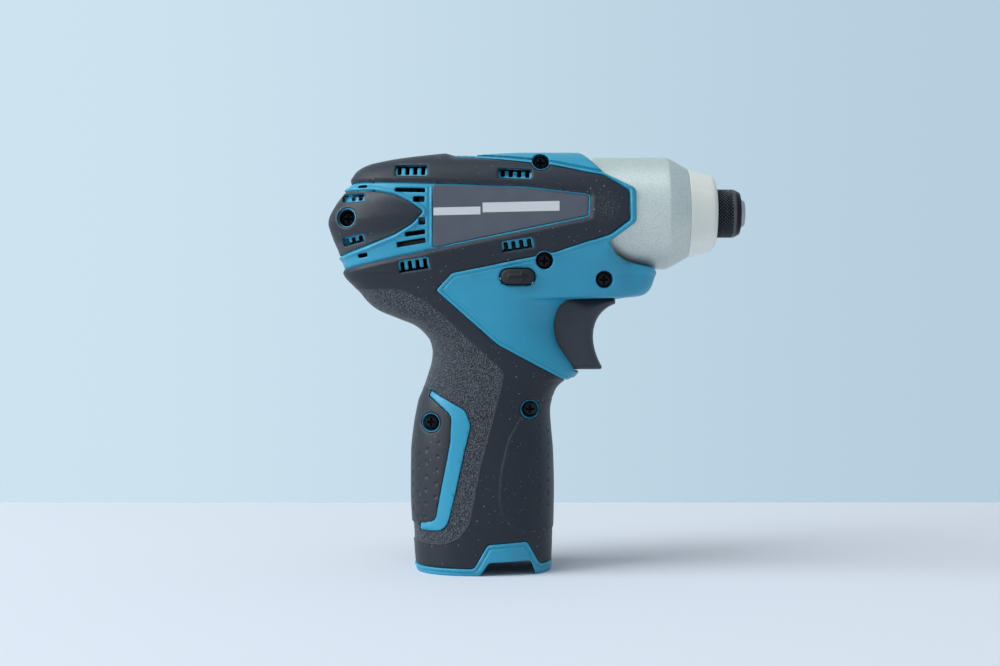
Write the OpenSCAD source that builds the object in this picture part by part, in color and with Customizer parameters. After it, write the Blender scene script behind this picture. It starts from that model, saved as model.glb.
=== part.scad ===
/* [Body] */
// Height of the spindle axis above the foot of the grip
axis_h = 132; // [130:1:140]
// Depth of the grip at its foot, front to back
grip_depth = 51; // [50:0.5:56]
// Width of the grip at its foot, side to side
grip_width = 48.6; // [48:0.2:54]
// Width of the head over the soft skin
head_width = 46; // [46:0.2:50]
// Height of the head above the spindle axis
head_rise = 22.4; // [22.2:0.2:25]
// Reach of the tail behind the middle of the grip
tail = 57.9; // [57:0.5:64]
// Thickness of the hard shell under the soft skin
shell_wall = 2; // [1.8:0.1:2.4]
// Thickness of the soft skin
skin = 1.4; // [1:0.1:1.8]
// Depth of the battery well in the grip
well_depth = 50; // [44:1:51]

/* [Nose] */
// Reach of the anvil tip in front of the middle of the grip
nose = 97.2; // [95:0.2:102]
// Radius of the hammer case
case_r = 20.8; // [20.6:0.1:21]
// Radius of the sleeve that holds the bit
sleeve_r = 9; // [8.6:0.1:9.2]
// Forward travel of the sleeve
sleeve_travel = 3; // [2:0.5:3.5]
// Width across flats of the bit socket
hex_af = 6.45; // [6.4:0.01:6.6]
// Depth of the bit socket
hex_depth = 24; // [20:1:25]
// Radius of the anvil shank
anvil_r = 5.7; // [5.6:0.05:5.9]

/* [Impact gear] */
// Radius of the hammer
hammer_r = 17.4; // [16.8:0.1:17.7]
// Backward travel of the hammer
hammer_travel = 6.4; // [5.8:0.1:6.5]
// Radius of the spindle under the hammer
spindle_r = 6; // [5.6:0.1:6.4]
// Gear module of the planet stage
gear_module = 0.6; // [0.56:0.01:0.61]
// Teeth on the motor pinion
pinion_teeth = 10; // [10:10:10]
// Teeth on each planet gear
planet_teeth = 20; // [20:20:20]
// Face width of the planet gears
gear_w = 5; // [4:0.2:5.2]

/* [Motor] */
// Outer radius of the motor yoke
yoke_r = 17.6; // [17:0.1:17.8]
// Length of the motor yoke
yoke_len = 32; // [28:1:34]
// Radius of the motor shaft
shaft_r = 2.4; // [2.1:0.1:2.4]
// Radius of the armature core
core_r = 11.8; // [11:0.1:12]
// Number of blades on the cooling fan
fan_blades = 13; // [9:1:15]

/* [Controls] */
// Width of the trigger
trigger_w = 17; // [15:0.5:17.5]
// Travel of the trigger
trigger_travel = 6; // [5:0.5:6.5]
// Sideways travel of the direction lever each way
lever_travel = 2.2; // [1.5:0.1:2.4]
// Length of the direction lever's end
lever_len = 12.4; // [11:0.2:13]
// Height of the direction lever's end
lever_h = 5.6; // [5:0.2:6]

/* [Fasteners] */
// Radius of a housing screw's head
screw_head_r = 2.7; // [2.4:0.1:2.8]
// Radius of a housing screw's shank
screw_r = 1.5; // [1.2:0.1:1.6]

/* [Clearances] */
// Running clearance of a round fit, on the radius
fit = 0.05; // [0.03:0.01:0.08]
// Clearance between a moving piece and what it slides in
slide_gap = 0.3; // [0.2:0.05:0.4]
// Clearance of a piece that is seated and held still
seat = 0.1; // [0.05:0.01:0.15]

/* [Hidden] */
$fn = 64;

// Colours, as the photo shows them
hard_blue = [0.16, 0.50, 0.62];
soft_grey = [0.19, 0.20, 0.23];
case_silver = [0.74, 0.77, 0.75];
pale_clear = [0.82, 0.85, 0.85];
near_black = [0.09, 0.09, 0.11];
steel = [0.58, 0.59, 0.61];
bronze = [0.62, 0.47, 0.26];
copper = [0.72, 0.42, 0.24];
white_plastic = [0.86, 0.86, 0.83];

// Small overlap that keeps a cut from ending flush with a face
over = 1;
// Least half width of a slice that is drawn in
leaf = 0.01;
// Half sizes that the lofted body follows
base_x = grip_depth / 2;
base_y = grip_width / 2;
head_y = head_width / 2;
// A reach past every side of the body, for cuts
far = 150;
// Rounding of an outline that is shorter than this is left out
shortest_arc = 0.4;
// Most of an edge that the rounding at one of its ends may take
edge_share = 0.45;
// Squareness of the body's slices, 2 being an ellipse
square_grip = 2.5;
square_head = 2.6;
// Points round one slice
slice_points = 28;
// Wall under the skin plus the skin
full_wall = shell_wall + skin;

// Nose stack along the spindle axis, from the tip back
ring_front = nose - 3.8;
clip_t = 1;
washer_t = 0.8;
sleeve_front = nose - 1.8;
sleeve_back = nose - 14.6;
// Length of the sleeve's spring when it is pressed together
pressed_spring = 1.4;
shoulder_x = ring_front - clip_t - washer_t - sleeve_travel - pressed_spring;
ball_x = nose - 11.2;
ball_r = 1.5;
// How far the ball reaches into the bit socket
ball_reach = 0.8;
bumper_front = nose - 9.9;
bumper_back = nose - 21.5;
bumper_r = 16.2;
collar_front = sleeve_back - 0.6;
collar_r = 10.5;
bush_r = 8.1;
case_wall_x = nose - 28.6;
case_shoulder_x = nose - 30.6;
case_rear = 25.9;
case_step_x = case_rear + 14;
case_rear_r = case_r - 1.4;
chamber_r = case_rear_r - 1.3;

// Impact mechanism, from the front wall of the hammer case back
wing_front = case_wall_x - 0.9;
wing_t = 5.7;
wing_back = wing_front - wing_t;
wing_r = 13.5;
wing_w = 8;
lug_h = 4.5;
hammer_front = wing_back - 0.4;
pilot_r = 3;
pilot_len = 6;
spindle_front = wing_back - 1.2;
cam_ball_r = 2;
spring_pocket_len = 8.5;

// Planet stage, from the gear plate forward
plate_t = 2.2;
carrier_rear = case_rear + plate_t + 0.2;
carrier_rear_t = 2;
gear_back = carrier_rear + carrier_rear_t + 0.2;
gear_front = gear_back + gear_w;
carrier_front = gear_front + 0.2;
carrier_front_t = 3;
carrier_end = carrier_front + carrier_front_t;
carrier_r = 13.4;
// The hammer stops a little short of the washer in front of the carrier
hammer_back = carrier_end + washer_t + hammer_travel + 0.7;
cam_ball_x = hammer_back + 9.6;
hub_r = 5.4;
pin_r = 1.6;
ring_teeth = pinion_teeth + 2 * planet_teeth;
centre_distance = gear_module * (pinion_teeth + planet_teeth) / 2;
addendum = 0.7 * gear_module;
dedendum = 1.1 * gear_module;
// Tooth thinning on each flank, for backlash
backlash = 0.05;
ring_out_r = chamber_r - seat;

// Gear plate with the two bearings
plate_boss_r = 11;
bearing_w = 4.6;
spindle_bearing_r = 9.4;
spindle_bearing_back = case_rear - 2.6;
front_bearing_r = 6.4;
front_bearing_back = spindle_bearing_back - 0.8 - bearing_w;

// Motor, from the fan back
fan_w = 5.4;
fan_r = 15.2;
fan_back = front_bearing_back - 1.2 - fan_w;
yoke_front = fan_back - 2.4;
yoke_back = yoke_front - yoke_len;
yoke_t = 2.2;
magnet_t = 3;
core_len = yoke_len - 8;
core_back = yoke_back + 4;
core_front = core_back + core_len;
winding_len = 3.8;
commutator_r = 5.6;
commutator_back = core_back - winding_len - 9;
commutator_len = 8;
rear_bearing_r = 6;
rear_bearing_back = commutator_back - 1.4 - bearing_w;
bell_t = 2.4;
brush_x = commutator_back + commutator_len / 2;
brush_w = 5;
brush_l = 4;
brush_tip_r = commutator_r + seat;
brush_tail_r = 13;
brush_box_r = brush_tail_r + 1.2;
cavity_r = yoke_r + slide_gap;
cavity_back = rear_bearing_back - 2;

// Battery terminals, and the neck between them and the top of the switch
block_bottom = well_depth + 0.5;
block_h = 9;
block_top = block_bottom + block_h;
head_drop = 35;
neck_room = axis_h - head_drop - block_top;
// Neck room at which the slices and outlines of the neck are written
neck_span = 37.5;

// Switch, trigger and lever
switch_top = axis_h - head_drop;
switch_bottom = block_top + neck_room * 14.5 / neck_span;
switch_h = switch_top - switch_bottom;
trigger_top = switch_top + 3.4;
trigger_bottom = switch_bottom - 0.1;
trigger_h = trigger_top - trigger_bottom;
trigger_back = 24.4;
switch_front = trigger_back - trigger_travel - 0.8;
switch_back = switch_front - 24;
switch_w = 18;
plunger_z = switch_bottom + switch_h * 0.52;
plunger_r = 2;
plunger_reach = 8;
trigger_coil_r = 3.2;
switch_pocket = 5;
lever_x = 12.5;
lever_z = axis_h - 24.3;
tab_l = 3;
tab_w = 6;

// Terminal block
block_x = 12;
block_y = 11;
contact_len = 8;
contact_rise = 2;
contact_gap = 12;

// Housing screws: X, Z and the depth of the head's face from the parting plane
screw_rear = [-tail + 8.1, axis_h - 2.5, 6];
screw_top = [21, axis_h + 17.8, 9];
screw_mid = [22.2, axis_h - 18.4, 17.4];
screw_front = [44.1, axis_h - 25.1, 13];
screw_grip_rear = [-base_x + 6.6, well_depth + 4.9, 13.5];
screw_grip_front = [base_x - 8.5, well_depth + 9.8, 15.5];
screws = [
  screw_rear, screw_top, screw_mid, screw_front, screw_grip_rear, screw_grip_front
];
screw_head_t = 1.8;
screw_reach = 8;
boss_r = screw_head_r + 0.6;
recess_r = screw_head_r + slide_gap;
// Opening in the soft skin round a screw's recess
skin_hole_r = recess_r + 0.5;

// Label recess in each side of the head
label_y = head_y - 2.2;
label_t = 0.6;
label_back = -19;
// Hard frame left between the soft skin and the label recess
label_frame = 0.6;

// Lamp in the foot under the nose
lamp_z = axis_h - 26.4;
lamp_r = 2.4;
lamp_front = 62.4;
lamp_len = 5;
board_t = 1.6;
board_w = 7;

// Leads inside the housing
lead_r = 0.9;
lead_sides = 8;

// Body slices: height, back, front, half width, squareness and the X of the widest point
grip_rows = [
  [0, -base_x + 0.8, base_x - 0.6, base_y - 0.8, square_grip, 0],
  [2.2, -base_x, base_x, base_y, square_grip, 0],
  [well_depth * 0.28, -base_x - 0.8, base_x + 0.5, base_y, square_grip, 0],
  [well_depth * 0.6, -base_x - 1.6, base_x + 0.8, base_y - 0.4, square_grip, 0],
  [well_depth * 0.86, -base_x - 1.5, base_x + 0.5, base_y - 0.9, square_grip, 0],
  [well_depth + 4, -base_x - 0.4, base_x - 0.4, base_y - 1.6, square_grip, 0],
  [block_top - 0.5, -base_x + 0.5, base_x - 0.7, base_y - 2, square_grip, 0]
];
neck_rows = [
  [below(69), -base_x + 1.4, base_x + 0.1, base_y - 2.4, square_grip, 0],
  [below(65.5), -base_x + 2.9, base_x + 1.4, base_y - 2.7, square_grip, 1],
  [below(62.5), -base_x + 3.7, base_x + 4, base_y - 3, square_grip, 1],
  [below(60.8), -base_x + 4.3, base_x + 8, base_y - 3.2, square_grip, 2],
  [below(58.6), -base_x + 5, base_x + 9.3, base_y - 3.4, square_grip, 2],
  [below(56), -base_x + 5.8, base_x + 7.4, base_y - 3.6, square_grip, 2],
  [below(52), -base_x + 6.3, base_x + 4.2, base_y - 3.8, square_grip, 2],
  [below(48), -base_x + 5.6, base_x + 3.5, base_y - 3.9, square_grip, 2],
  [below(44.5), -base_x + 3, base_x + 2.4, base_y - 3.9, square_grip, 1],
  [below(42), -base_x - 0.1, base_x + 2.1, base_y - 3.9, square_grip, 0],
  [below(39.4), -tail + 26, base_x + 2.5, base_y - 3.8, square_grip, 0],
  [below(36.4), -tail + 18.8, base_x + 3.9, base_y - 3.7, square_grip, 0],
  [axis_h - 34, -tail + 15.4, base_x + 5, base_y - 3.6, square_grip, 0],
  [axis_h - 32.7, -tail + 14.2, base_x + 14, base_y - 3.5, square_grip, 0],
  [axis_h - 31.8, -tail + 13.4, base_x + 30, base_y - 3.5, square_grip, 0],
  [axis_h - 30, -tail + 12, base_x + 35.2, base_y - 3.4, square_grip, 0],
  [axis_h - 27, -tail + 9.3, base_x + 37.6, base_y - 3.2, square_grip, 0],
  [axis_h - 24, -tail + 6.4, base_x + 38.6, base_y - 2.8, square_grip, 0]
];
head_rows = [
  [axis_h - 21.5, -tail + 5.2, base_x + 42, head_y - 1.4, square_head, -2],
  [axis_h - 19, -tail + 4.4, base_x + 56, head_y - 1, square_head, -4],
  [axis_h - 15, -tail + 3.1, base_x + 90, head_y - 0.5, square_head, -5],
  [axis_h - 10, -tail + 1.4, far, head_y - 0.15, square_head, -5],
  [axis_h - 3, -tail, far, head_y, square_head, -5],
  [axis_h + 3, -tail + 2.2, far, top_half_width(3), square_head, -5],
  [axis_h + 8.6, -tail + 6, far, top_half_width(8.6), square_head, -5],
  [axis_h + 12, -tail + 8.4, far, top_half_width(12), square_head, -5],
  [axis_h + 15, -tail + 10.4, far, top_half_width(15), square_head, -5],
  [axis_h + 17.4, -tail + 14.2, far, top_half_width(17.4), square_head, -5],
  [axis_h + 19.4, -tail + 22.5, far, top_half_width(19.4), square_head, -5],
  [axis_h + head_rise - 1.4, -tail + 34, far, top_half_width(head_rise - 1.4), square_head, -5],
  [axis_h + head_rise - 0.5, -tail + 42, far, top_half_width(head_rise - 0.5), square_head, -5],
  [axis_h + head_rise, -tail + 50, far, top_half_width(head_rise - 0.12), square_head, -5]
];
body_rows = concat(grip_rows, neck_rows, head_rows);
// Half length of the direction lever, proud of both sides of the body
lever_reach = body_half_width(lever_z) + 2.2;

// Side outlines, as [X, height above the axis, corner radius] or [X, height above the foot, radius]
// Front limit of the hard shell, round the hammer case
shell_limit = [
  [-far, far, 0], [34.4, far, 0], [34.4, head_rise + over, 0], [44.2, 13.2, 2], [55.4, 7.7, 3],
  [55.6, -4.4, 3], [45.6, -11.7, 0.5], [48.3, -16, 3], [56, -19.2, 6], [62.6, -20.6, 0.5],
  [64.3, -22.3, 1.2], [64.3, -far, 0], [-far, -far, 0]
];
// Soft skin over the head and down to the guard, closed far below
soft_head = [
  [-far, far, 0], [-10, far, 0], [-10, 20.4, 1], [25, 16.4, 8], [44.2, 12.2, 10],
  [53.2, 6.8, 0.6], [53.4, -3.6, 0.6], [46, -8.8, 6], [26.2, -15.4, 0.4], [-11.2, -23, 2],
  [-17, -29.2, 1], [5.5, below(49) - axis_h, 12], [28, below(61) - axis_h, 0.4],
  [40, below(65.5) - axis_h, 0], [far, below(70) - axis_h, 0], [far, -far, 0], [-far, -far, 0]
];
// Window in the soft skin that shows the grille and the label recess
side_window = [
  [-far, 10.4, 0], [-47, 10.3, 0.5], [15, 7.9, 40], [38.4, 5.3, 1],
  [38.2, -2.4, 1], [-8.3, -12, 40], [-50, -20.6, 0.5], [-far, -24, 0]
];
// Soft pad on the tail
tail_pad = [
  [-far, 8.6, 0], [-48.8, 7.4, 4], [-34, 5, 20], [-21.8, -0.6, 0.8], [-34, -11.3, 20],
  [-51.3, -18.2, 4], [-far, -20.6, 0]
];
// Hard stripe that shows through the skin at the back of the grip
grip_stripe = [
  [-18.8, well_depth + 16.4, 0.3], [-6.4, well_depth + 9.4, 3], [-4.4, well_depth + 4, 4],
  [-6.7, well_depth - 5.6, 20], [-10.6, 26.5, 10], [-13.4, 15.9, 6], [-22.8, 15.8, 0.4],
  [-22.8, 18.4, 0.4], [-17.2, 19.6, 3], [-15.6, 28.5, 8], [-11.9, well_depth - 2.5, 8],
  [-11.4, well_depth + 7.6, 4], [-19.6, well_depth + 14.6, 0.3]
];
// Upper edge of the bare foot of the grip, with a raised arch over the latch notch
foot_edge = [
  [-far, 3.2, 0], [-3.2, 2.6, 2], [1.8, 11.2, 2], [16, 12.2, 2], [20.6, 3.6, 2],
  [far, 3.4, 0], [far, -far, 0], [-far, -far, 0]
];
// Notch in the foot that lets the battery's catch through
latch_notch = [
  [-1, -far, 0], [-1, 0.2, 1], [2.2, 4.8, 2], [17.2, 5.4, 2], [18.8, 1, 1], [18.8, -far, 0]
];
// Vent windows in the skin: middle X, height above the axis, length, height, tilt and slots
vents = [
  [-26, 14.3, 11.6, 3.9, -1, 4], [11.6, 13, 12, 3.4, -2.4, 4],
  [-25, -19.9, 11.2, 4.2, 8.5, 4], [12.5, -12.7, 11.4, 3.8, 9, 4],
  [-46.8, 4.7, 7.4, 2.6, 0, 3], [-46.8, -11, 7.4, 2.8, 12, 3]
];
slot_share = 0.42;
// Plain slots in the hard grille behind the label: X from, X to, height, tilt and slot height
grille_slots = [
  [-31.4, -21, 7.1, -1.5, 1.5], [-25.6, -21.2, 3.6, 0, 1.8], [-23.6, -21.2, -4.5, 0, 1.8],
  [-27.8, -21.2, -8.6, 8, 1.5], [-30.4, -21, -12, 9, 1.6],
  [-45.4, -42.8, 8.9, 0, 0.9], [-45.4, -42.2, -16.3, 8, 1.2]
];

// Height of a point of the neck, from its drop below the axis at the written neck room
function below(drop) = switch_top - (drop - head_drop) * neck_room / neck_span;
// Half width of the head at a height above the axis
function top_half_width(h) =
  head_y * pow(max(0, 1 - pow(h / head_rise, square_head)), 1 / square_head);
// Half width of the lofted body at a height, between its slices
function body_half_width(z) = lookup(z, [for (row = body_rows) [row[0], row[3]]]);
function side_sign(v) = v < 0 ? -1 : 1;
function rounded_power(v, n) = side_sign(v) * pow(abs(v), 2 / n);
// Height of a slice once the body is drawn in by an inset
function inset_height(z, inset) =
  z <= axis_h ? z : axis_h + (z - axis_h) * (head_rise - inset) / head_rise;
// Outline of one slice, drawn in by an inset
function slice_outline(row, inset) = [
  for (k = [0 : slice_points - 1])
    let (t = 360 * (k + 0.5) / slice_points)
    let (reach = cos(t) > 0 ? row[2] - row[5] : row[5] - row[1])
    [
      row[5] + (reach - inset) * rounded_power(cos(t), row[4]),
      max(row[3] - inset, leaf) * rounded_power(sin(t), row[4])
    ]
];
function unit(v) = v / norm(v);
function turn(v, angle) =
  [v[0] * cos(angle) - v[1] * sin(angle), v[0] * sin(angle) + v[1] * cos(angle)];
// Points that round the corner at b, between a and c, within both edges; a short arc is left sharp
function corner_arc(a, b, c, r, steps) =
  let (u = unit(a - b), v = unit(c - b))
  let (half = acos(max(-1, min(1, u * v))) / 2)
  let (start = min(r / tan(half), norm(a - b) * edge_share, norm(c - b) * edge_share))
  let (middle = b + unit(u + v) * start / cos(half))
  let (sweep = -side_sign(cross(u, v)) * (180 - 2 * half))
  start < shortest_arc ? [b]
    : [for (k = [0 : steps]) middle + turn(b + u * start - middle, sweep * k / steps)];
// Outline with its corners rounded, from [X, height, radius] points
function rounded(points, steps = 3) = [
  for (i = [0 : len(points) - 1])
    let (count = len(points))
    let (p = points[i], before = points[(i + count - 1) % count], after = points[(i + 1) % count])
    let (flat = [p[0], p[1]])
    each p[2] == 0 ? [flat]
      : corner_arc([before[0], before[1]], flat, [after[0], after[1]], p[2], steps)
];
function curve_point(p, t) =
  p[0] * pow(1 - t, 3) + 3 * p[1] * t * pow(1 - t, 2) + 3 * p[2] * t * t * (1 - t) + p[3] * pow(t, 3);
// Involute function of a radius on a gear with base radius rb, in degrees
function involute(r, rb) =
  r <= rb ? 0 : tan(acos(rb / r)) * 180 / PI - acos(rb / r);
// Outline of an involute gear; thin is taken off each flank at the pitch circle
function gear_outline(teeth, add, ded, thin, phase = 0) =
  let (rp = gear_module * teeth / 2)
  let (rb = rp * cos(20))
  let (tip = rp + add, root = rp - ded)
  let (half_p = 90 / teeth - thin / rp * 180 / PI + involute(rp, rb))
  let (low = max(root, rb))
  let (radii = [for (k = [0 : 3]) low + (tip - low) * k / 3])
  [
    for (i = [0 : teeth - 1])
      let (mid = phase + 360 * i / teeth)
      each concat(
        [polar(root, mid - half_p + involute(low, rb))],
        [for (r = radii) polar(r, mid - half_p + involute(r, rb))],
        [for (k = [3 : -1 : 0]) polar(radii[k], mid + half_p - involute(radii[k], rb))],
        [polar(root, mid + half_p - involute(low, rb))]
      )
  ];
function polar(r, angle) = [r * cos(angle), r * sin(angle)];
// Points of a coil spring round the X axis, from the turns and the wire
function coil_points(from, to, radius, turns, per_turn) = [
  for (k = [0 : turns * per_turn])
    let (s = k / (turns * per_turn))
    [from + (to - from) * s, radius * cos(360 * turns * s), radius * sin(360 * turns * s)]
];

// A solid on the spindle axis, with its own Z along the tool
module on_axis(x = 0) {
  translate([x, 0, axis_h])
    rotate([0, 90, 0])
      children();
}
module rod(from, to, r) {
  on_axis(from)
    cylinder(r = r, h = to - from);
}
module ring(from, to, outer, inner) {
  difference() {
    rod(from, to, outer);
    rod(from - over, to + over, inner);
  }
}
// A turned piece from [radius, X] points
module turned(points) {
  on_axis()
    rotate_extrude()
      polygon(points);
}
// A prism through the body from a side outline
module side_prism(from, to) {
  translate([0, to, 0])
    rotate([90, 0, 0])
      linear_extrude(to - from)
        children();
}
// A prism whose outline is given above the spindle axis
module axis_prism(points, from, to) {
  translate([0, 0, axis_h])
    side_prism(from, to)
      polygon(rounded(points));
}
module foot_prism(points, from, to) {
  side_prism(from, to)
    polygon(rounded(points));
}
// A tube swept along points, with flat ends
module swept_tube(points, r, sides) {
  count = len(points);
  rings = [
    for (i = [0 : count - 1])
      let (ahead = unit(points[min(i + 1, count - 1)] - points[max(i - 1, 0)]))
      let (across = unit(cross(ahead, abs(ahead[1]) < 0.9 ? [0, 1, 0] : [0, 0, 1])))
      let (up = cross(across, ahead))
      each [
        for (k = [0 : sides - 1])
          points[i] + r * (across * cos(360 * k / sides) + up * sin(360 * k / sides))
      ]
  ];
  walls = [
    for (i = [0 : count - 2], k = [0 : sides - 1])
      let (a = i * sides + k, b = i * sides + (k + 1) % sides)
      each [[a, b, a + sides], [b, b + sides, a + sides]]
  ];
  start = [for (k = [1 : sides - 2]) [0, k + 1, k]];
  last = (count - 1) * sides;
  end = [for (k = [1 : sides - 2]) [last, last + k, last + k + 1]];
  polyhedron(rings, concat(walls, start, end));
}
// A coil spring on the spindle axis
module coil(from, to, radius, wire, turns) {
  translate([0, 0, axis_h])
    swept_tube(coil_points(from + wire, to - wire, radius, turns, 10), wire, 6);
}

// The whole outer form of the body, drawn in by an inset
module body_form(inset) {
  rows = len(body_rows);
  points = [
    for (row = body_rows)
      each [for (p = slice_outline(row, inset)) [p[0], p[1], inset_height(row[0], inset)]]
  ];
  walls = [
    for (i = [0 : rows - 2], k = [0 : slice_points - 1])
      let (a = i * slice_points + k, b = i * slice_points + (k + 1) % slice_points)
      each [[a, a + slice_points, b], [b, a + slice_points, b + slice_points]]
  ];
  floor_face = [for (k = [0 : slice_points - 1]) k];
  roof_face = [for (k = [slice_points - 1 : -1 : 0]) (rows - 1) * slice_points + k];
  polyhedron(points, concat(walls, [floor_face, roof_face]));
}
// Keeps what lies on one side of the parting plane: -1 is the right, 1 the left
module half_space(side) {
  translate([-far, side < 0 ? -far : 0, -far])
    cube([2 * far, far, 3 * far]);
}
// Side areas that the soft skin covers
module soft_area(side) {
  difference() {
    union() {
      difference() {
        axis_prism(soft_head, -far, far);
        axis_prism(side_window, -far, far);
      }
      axis_prism(tail_pad, -far, far);
    }
    foot_prism(foot_edge, -far, far);
    foot_prism(grip_stripe, -far, far);
    for (vent = vents)
      vent_window(vent);
    if (side < 0)
      for (screw = screws)
        side_pin(screw, skin_hole_r, 0, far);
  }
}
module vent_frame(vent) {
  translate([vent[0], 0, axis_h + vent[1]])
    rotate([0, -vent[4], 0])
      children();
}
// An opening through one side with rounded ends, seen from the side
module round_opening(length, height, r) {
  hull()
    for (x = [-1, 1], z = [-1, 1])
      translate([x * (length / 2 - r), 0, z * (height / 2 - r)])
        rotate([90, 0, 0])
          cylinder(r = r, h = far, $fn = 8);
}
module vent_window(vent) {
  vent_frame(vent)
    round_opening(vent[2], vent[3], 0.5);
}
// The upright slots in the hard shell inside one vent window
module vent_slots(vent) {
  pitch = vent[2] / vent[5];
  for (i = [0 : vent[5] - 1])
    vent_frame(vent)
      translate([(i + 0.5) * pitch - vent[2] / 2 - pitch * slot_share / 2, -far, 0.4 - vent[3] / 2])
        cube([pitch * slot_share, far, vent[3] - 0.8]);
}
module grille_slot(slot) {
  length = slot[1] - slot[0];
  vent_frame([(slot[0] + slot[1]) / 2, slot[2], length, slot[4], slot[3]])
    round_opening(length, slot[4], 0.3);
}
// A pin square to the parting plane on a screw's axis, on the right unless mirrored
module side_pin(screw, r, from, to, sides = 18) {
  translate([screw[0], -from, screw[1]])
    rotate([90, 0, 0])
      cylinder(r = r, h = to - from, $fn = sides);
}
module at_side(side) {
  if (side < 0)
    children();
  else
    mirror([0, 1, 0])
      children();
}
// The hollow inside both halves of the housing, less the ribs and bosses on the right
module body_hollow() {
  difference() {
    inner_space();
    inner_ribs();
  }
  trigger_slot();
  lever_hole();
  lamp_pocket();
  foot_prism(latch_notch, -far, far);
}
module inner_space() {
  // Battery well and the space for the switch, as far forward as the trigger
  intersection() {
    body_form(full_wall);
    translate([-far, -far, -over])
      cube([far + switch_front + trigger_travel, 2 * far, axis_h - 16 + over]);
  }
  rod(cavity_back, case_rear + over, cavity_r);
  rod(case_rear - seat, case_step_x + over, case_rear_r + seat);
  rod(case_step_x - slide_gap, far, case_r + seat);
}
module trigger_slot() {
  half = trigger_w / 2 + slide_gap;
  translate([switch_front, -half, trigger_bottom - slide_gap])
    cube([far, 2 * half, trigger_top - trigger_bottom + 2 * slide_gap]);
}
module oblong(length, height) {
  translate([-(length - height) / 2, -height / 2])
    square([length - height, height]);
  for (side = [-1, 1])
    translate([side * (length - height) / 2, 0])
      circle(d = height, $fn = 32);
}
module lever_hole() {
  translate([lever_x, 0, lever_z])
    side_prism(-far, far)
      oblong(lever_len + 2 * slide_gap, lever_h + 2 * slide_gap);
}
module lamp_pocket() {
  translate([lamp_front - lamp_len - slide_gap, 0, lamp_z])
    rotate([0, 90, 0])
      cylinder(r = lamp_r + seat, h = far, $fn = 32);
  translate([lamp_front - lamp_len - slide_gap - board_t, -board_w / 2 - seat, lamp_z - board_w / 2 - seat])
    cube([board_t + slide_gap, board_w + 2 * seat, board_w + 2 * seat]);
}
// Ribs and bosses that carry the inner pieces, on the right
module inner_ribs() {
  for (screw = screws)
    side_pin(screw, boss_r, 0, far, 10);
  // Ribs beside the switch
  for (x = [switch_back + 2, switch_front - 5])
    translate([x, -far, switch_bottom])
      cube([2, far - switch_w / 2 - seat, switch_top - switch_bottom]);
  // Shelves beside and over the terminal block
  for (x = [-block_x + 2, block_x - 4])
    translate([x, -far, block_bottom])
      cube([2, far - block_y - seat, block_h]);
  // Saddle round the motor's end bell
  ring(cavity_back - over, cavity_back + 2, cavity_r + over, rear_bearing_r + 2 + seat);
}
// One half of the hard shell
module hard_half(side) {
  at_side(side)
    difference() {
      intersection() {
        body_form(0);
        half_space(-1);
        axis_prism(shell_limit, -far, over);
      }
      body_hollow();
      // Bed of the soft skin
      difference() {
        intersection() {
          body_form(-over);
          soft_area(side);
        }
        body_form(skin);
      }
      // Label recess
      axis_prism(label_area(label_frame), -far, -label_y);
      for (vent = vents)
        vent_slots(vent);
      for (slot = grille_slots)
        grille_slot(slot);
      screw_cuts(side);
    }
}
// Outline of the label's place, drawn in from the side window by a margin
function label_area(margin) = [
  [label_back + margin, 9.2 - margin, 1.2], [15, 7.9 - margin, 40],
  [38.4 - margin, 5.3 - margin, 1], [38.2 - margin, -2.4 + margin, 1],
  [-8.3, -12 + margin, 40], [label_back + margin, -14.1 + margin, 1.2]
];
module screw_cuts(side) {
  for (screw = screws)
    if (side < 0) {
      side_pin(screw, screw_r + seat, -over, far);
      side_pin(screw, recess_r, screw[2] - screw_head_t, far);
    } else
      side_pin(screw, screw_r + fit, -over, screw_reach + slide_gap);
}
// One half of the soft skin
module soft_half(side) {
  at_side(side)
    difference() {
      intersection() {
        body_form(0);
        half_space(-1);
        soft_area(side);
      }
      body_form(skin);
      trigger_slot();
      lever_hole();
      rod(case_step_x, far, case_r + seat);
    }
}

module housing_right() {
  color(hard_blue)
    hard_half(-1);
}
module housing_left() {
  color(hard_blue)
    hard_half(1);
}
module grip_right() {
  color(soft_grey)
    soft_half(-1);
}
module grip_left() {
  color(soft_grey)
    soft_half(1);
}
module housing_screws() {
  color(near_black)
    for (screw = screws)
      difference() {
        union() {
          side_pin(screw, screw_head_r, screw[2] - screw_head_t, screw[2], 32);
          side_pin(screw, screw_r, -screw_reach, screw[2], 32);
        }
        // Cross recess
        translate([screw[0], -screw[2], screw[1]])
          for (angle = [0, 90])
            rotate([0, angle, 0])
              cube([3.2, 2.2, 0.8], center = true);
      }
}
module name_plate(side) {
  at_side(side)
    axis_prism(label_area(label_frame + slide_gap), -label_y - label_t, -label_y);
}
module name_plate_right() {
  color(soft_grey)
    name_plate(-1);
}
module name_plate_left() {
  color(soft_grey)
    name_plate(1);
}
module led_lens() {
  color(pale_clear)
    translate([lamp_front - lamp_len, 0, lamp_z])
      rotate([0, 90, 0]) {
        cylinder(r = lamp_r, h = lamp_len - lamp_r / 2);
        intersection() {
          translate([0, 0, lamp_len - 2 * lamp_r])
            sphere(r = 2 * lamp_r);
          cylinder(r = lamp_r, h = lamp_len);
        }
      }
}
module led_board() {
  color(white_plastic)
    translate([lamp_front - lamp_len - seat - board_t, -board_w / 2, lamp_z - board_w / 2])
      cube([board_t, board_w, board_w]);
}
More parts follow.
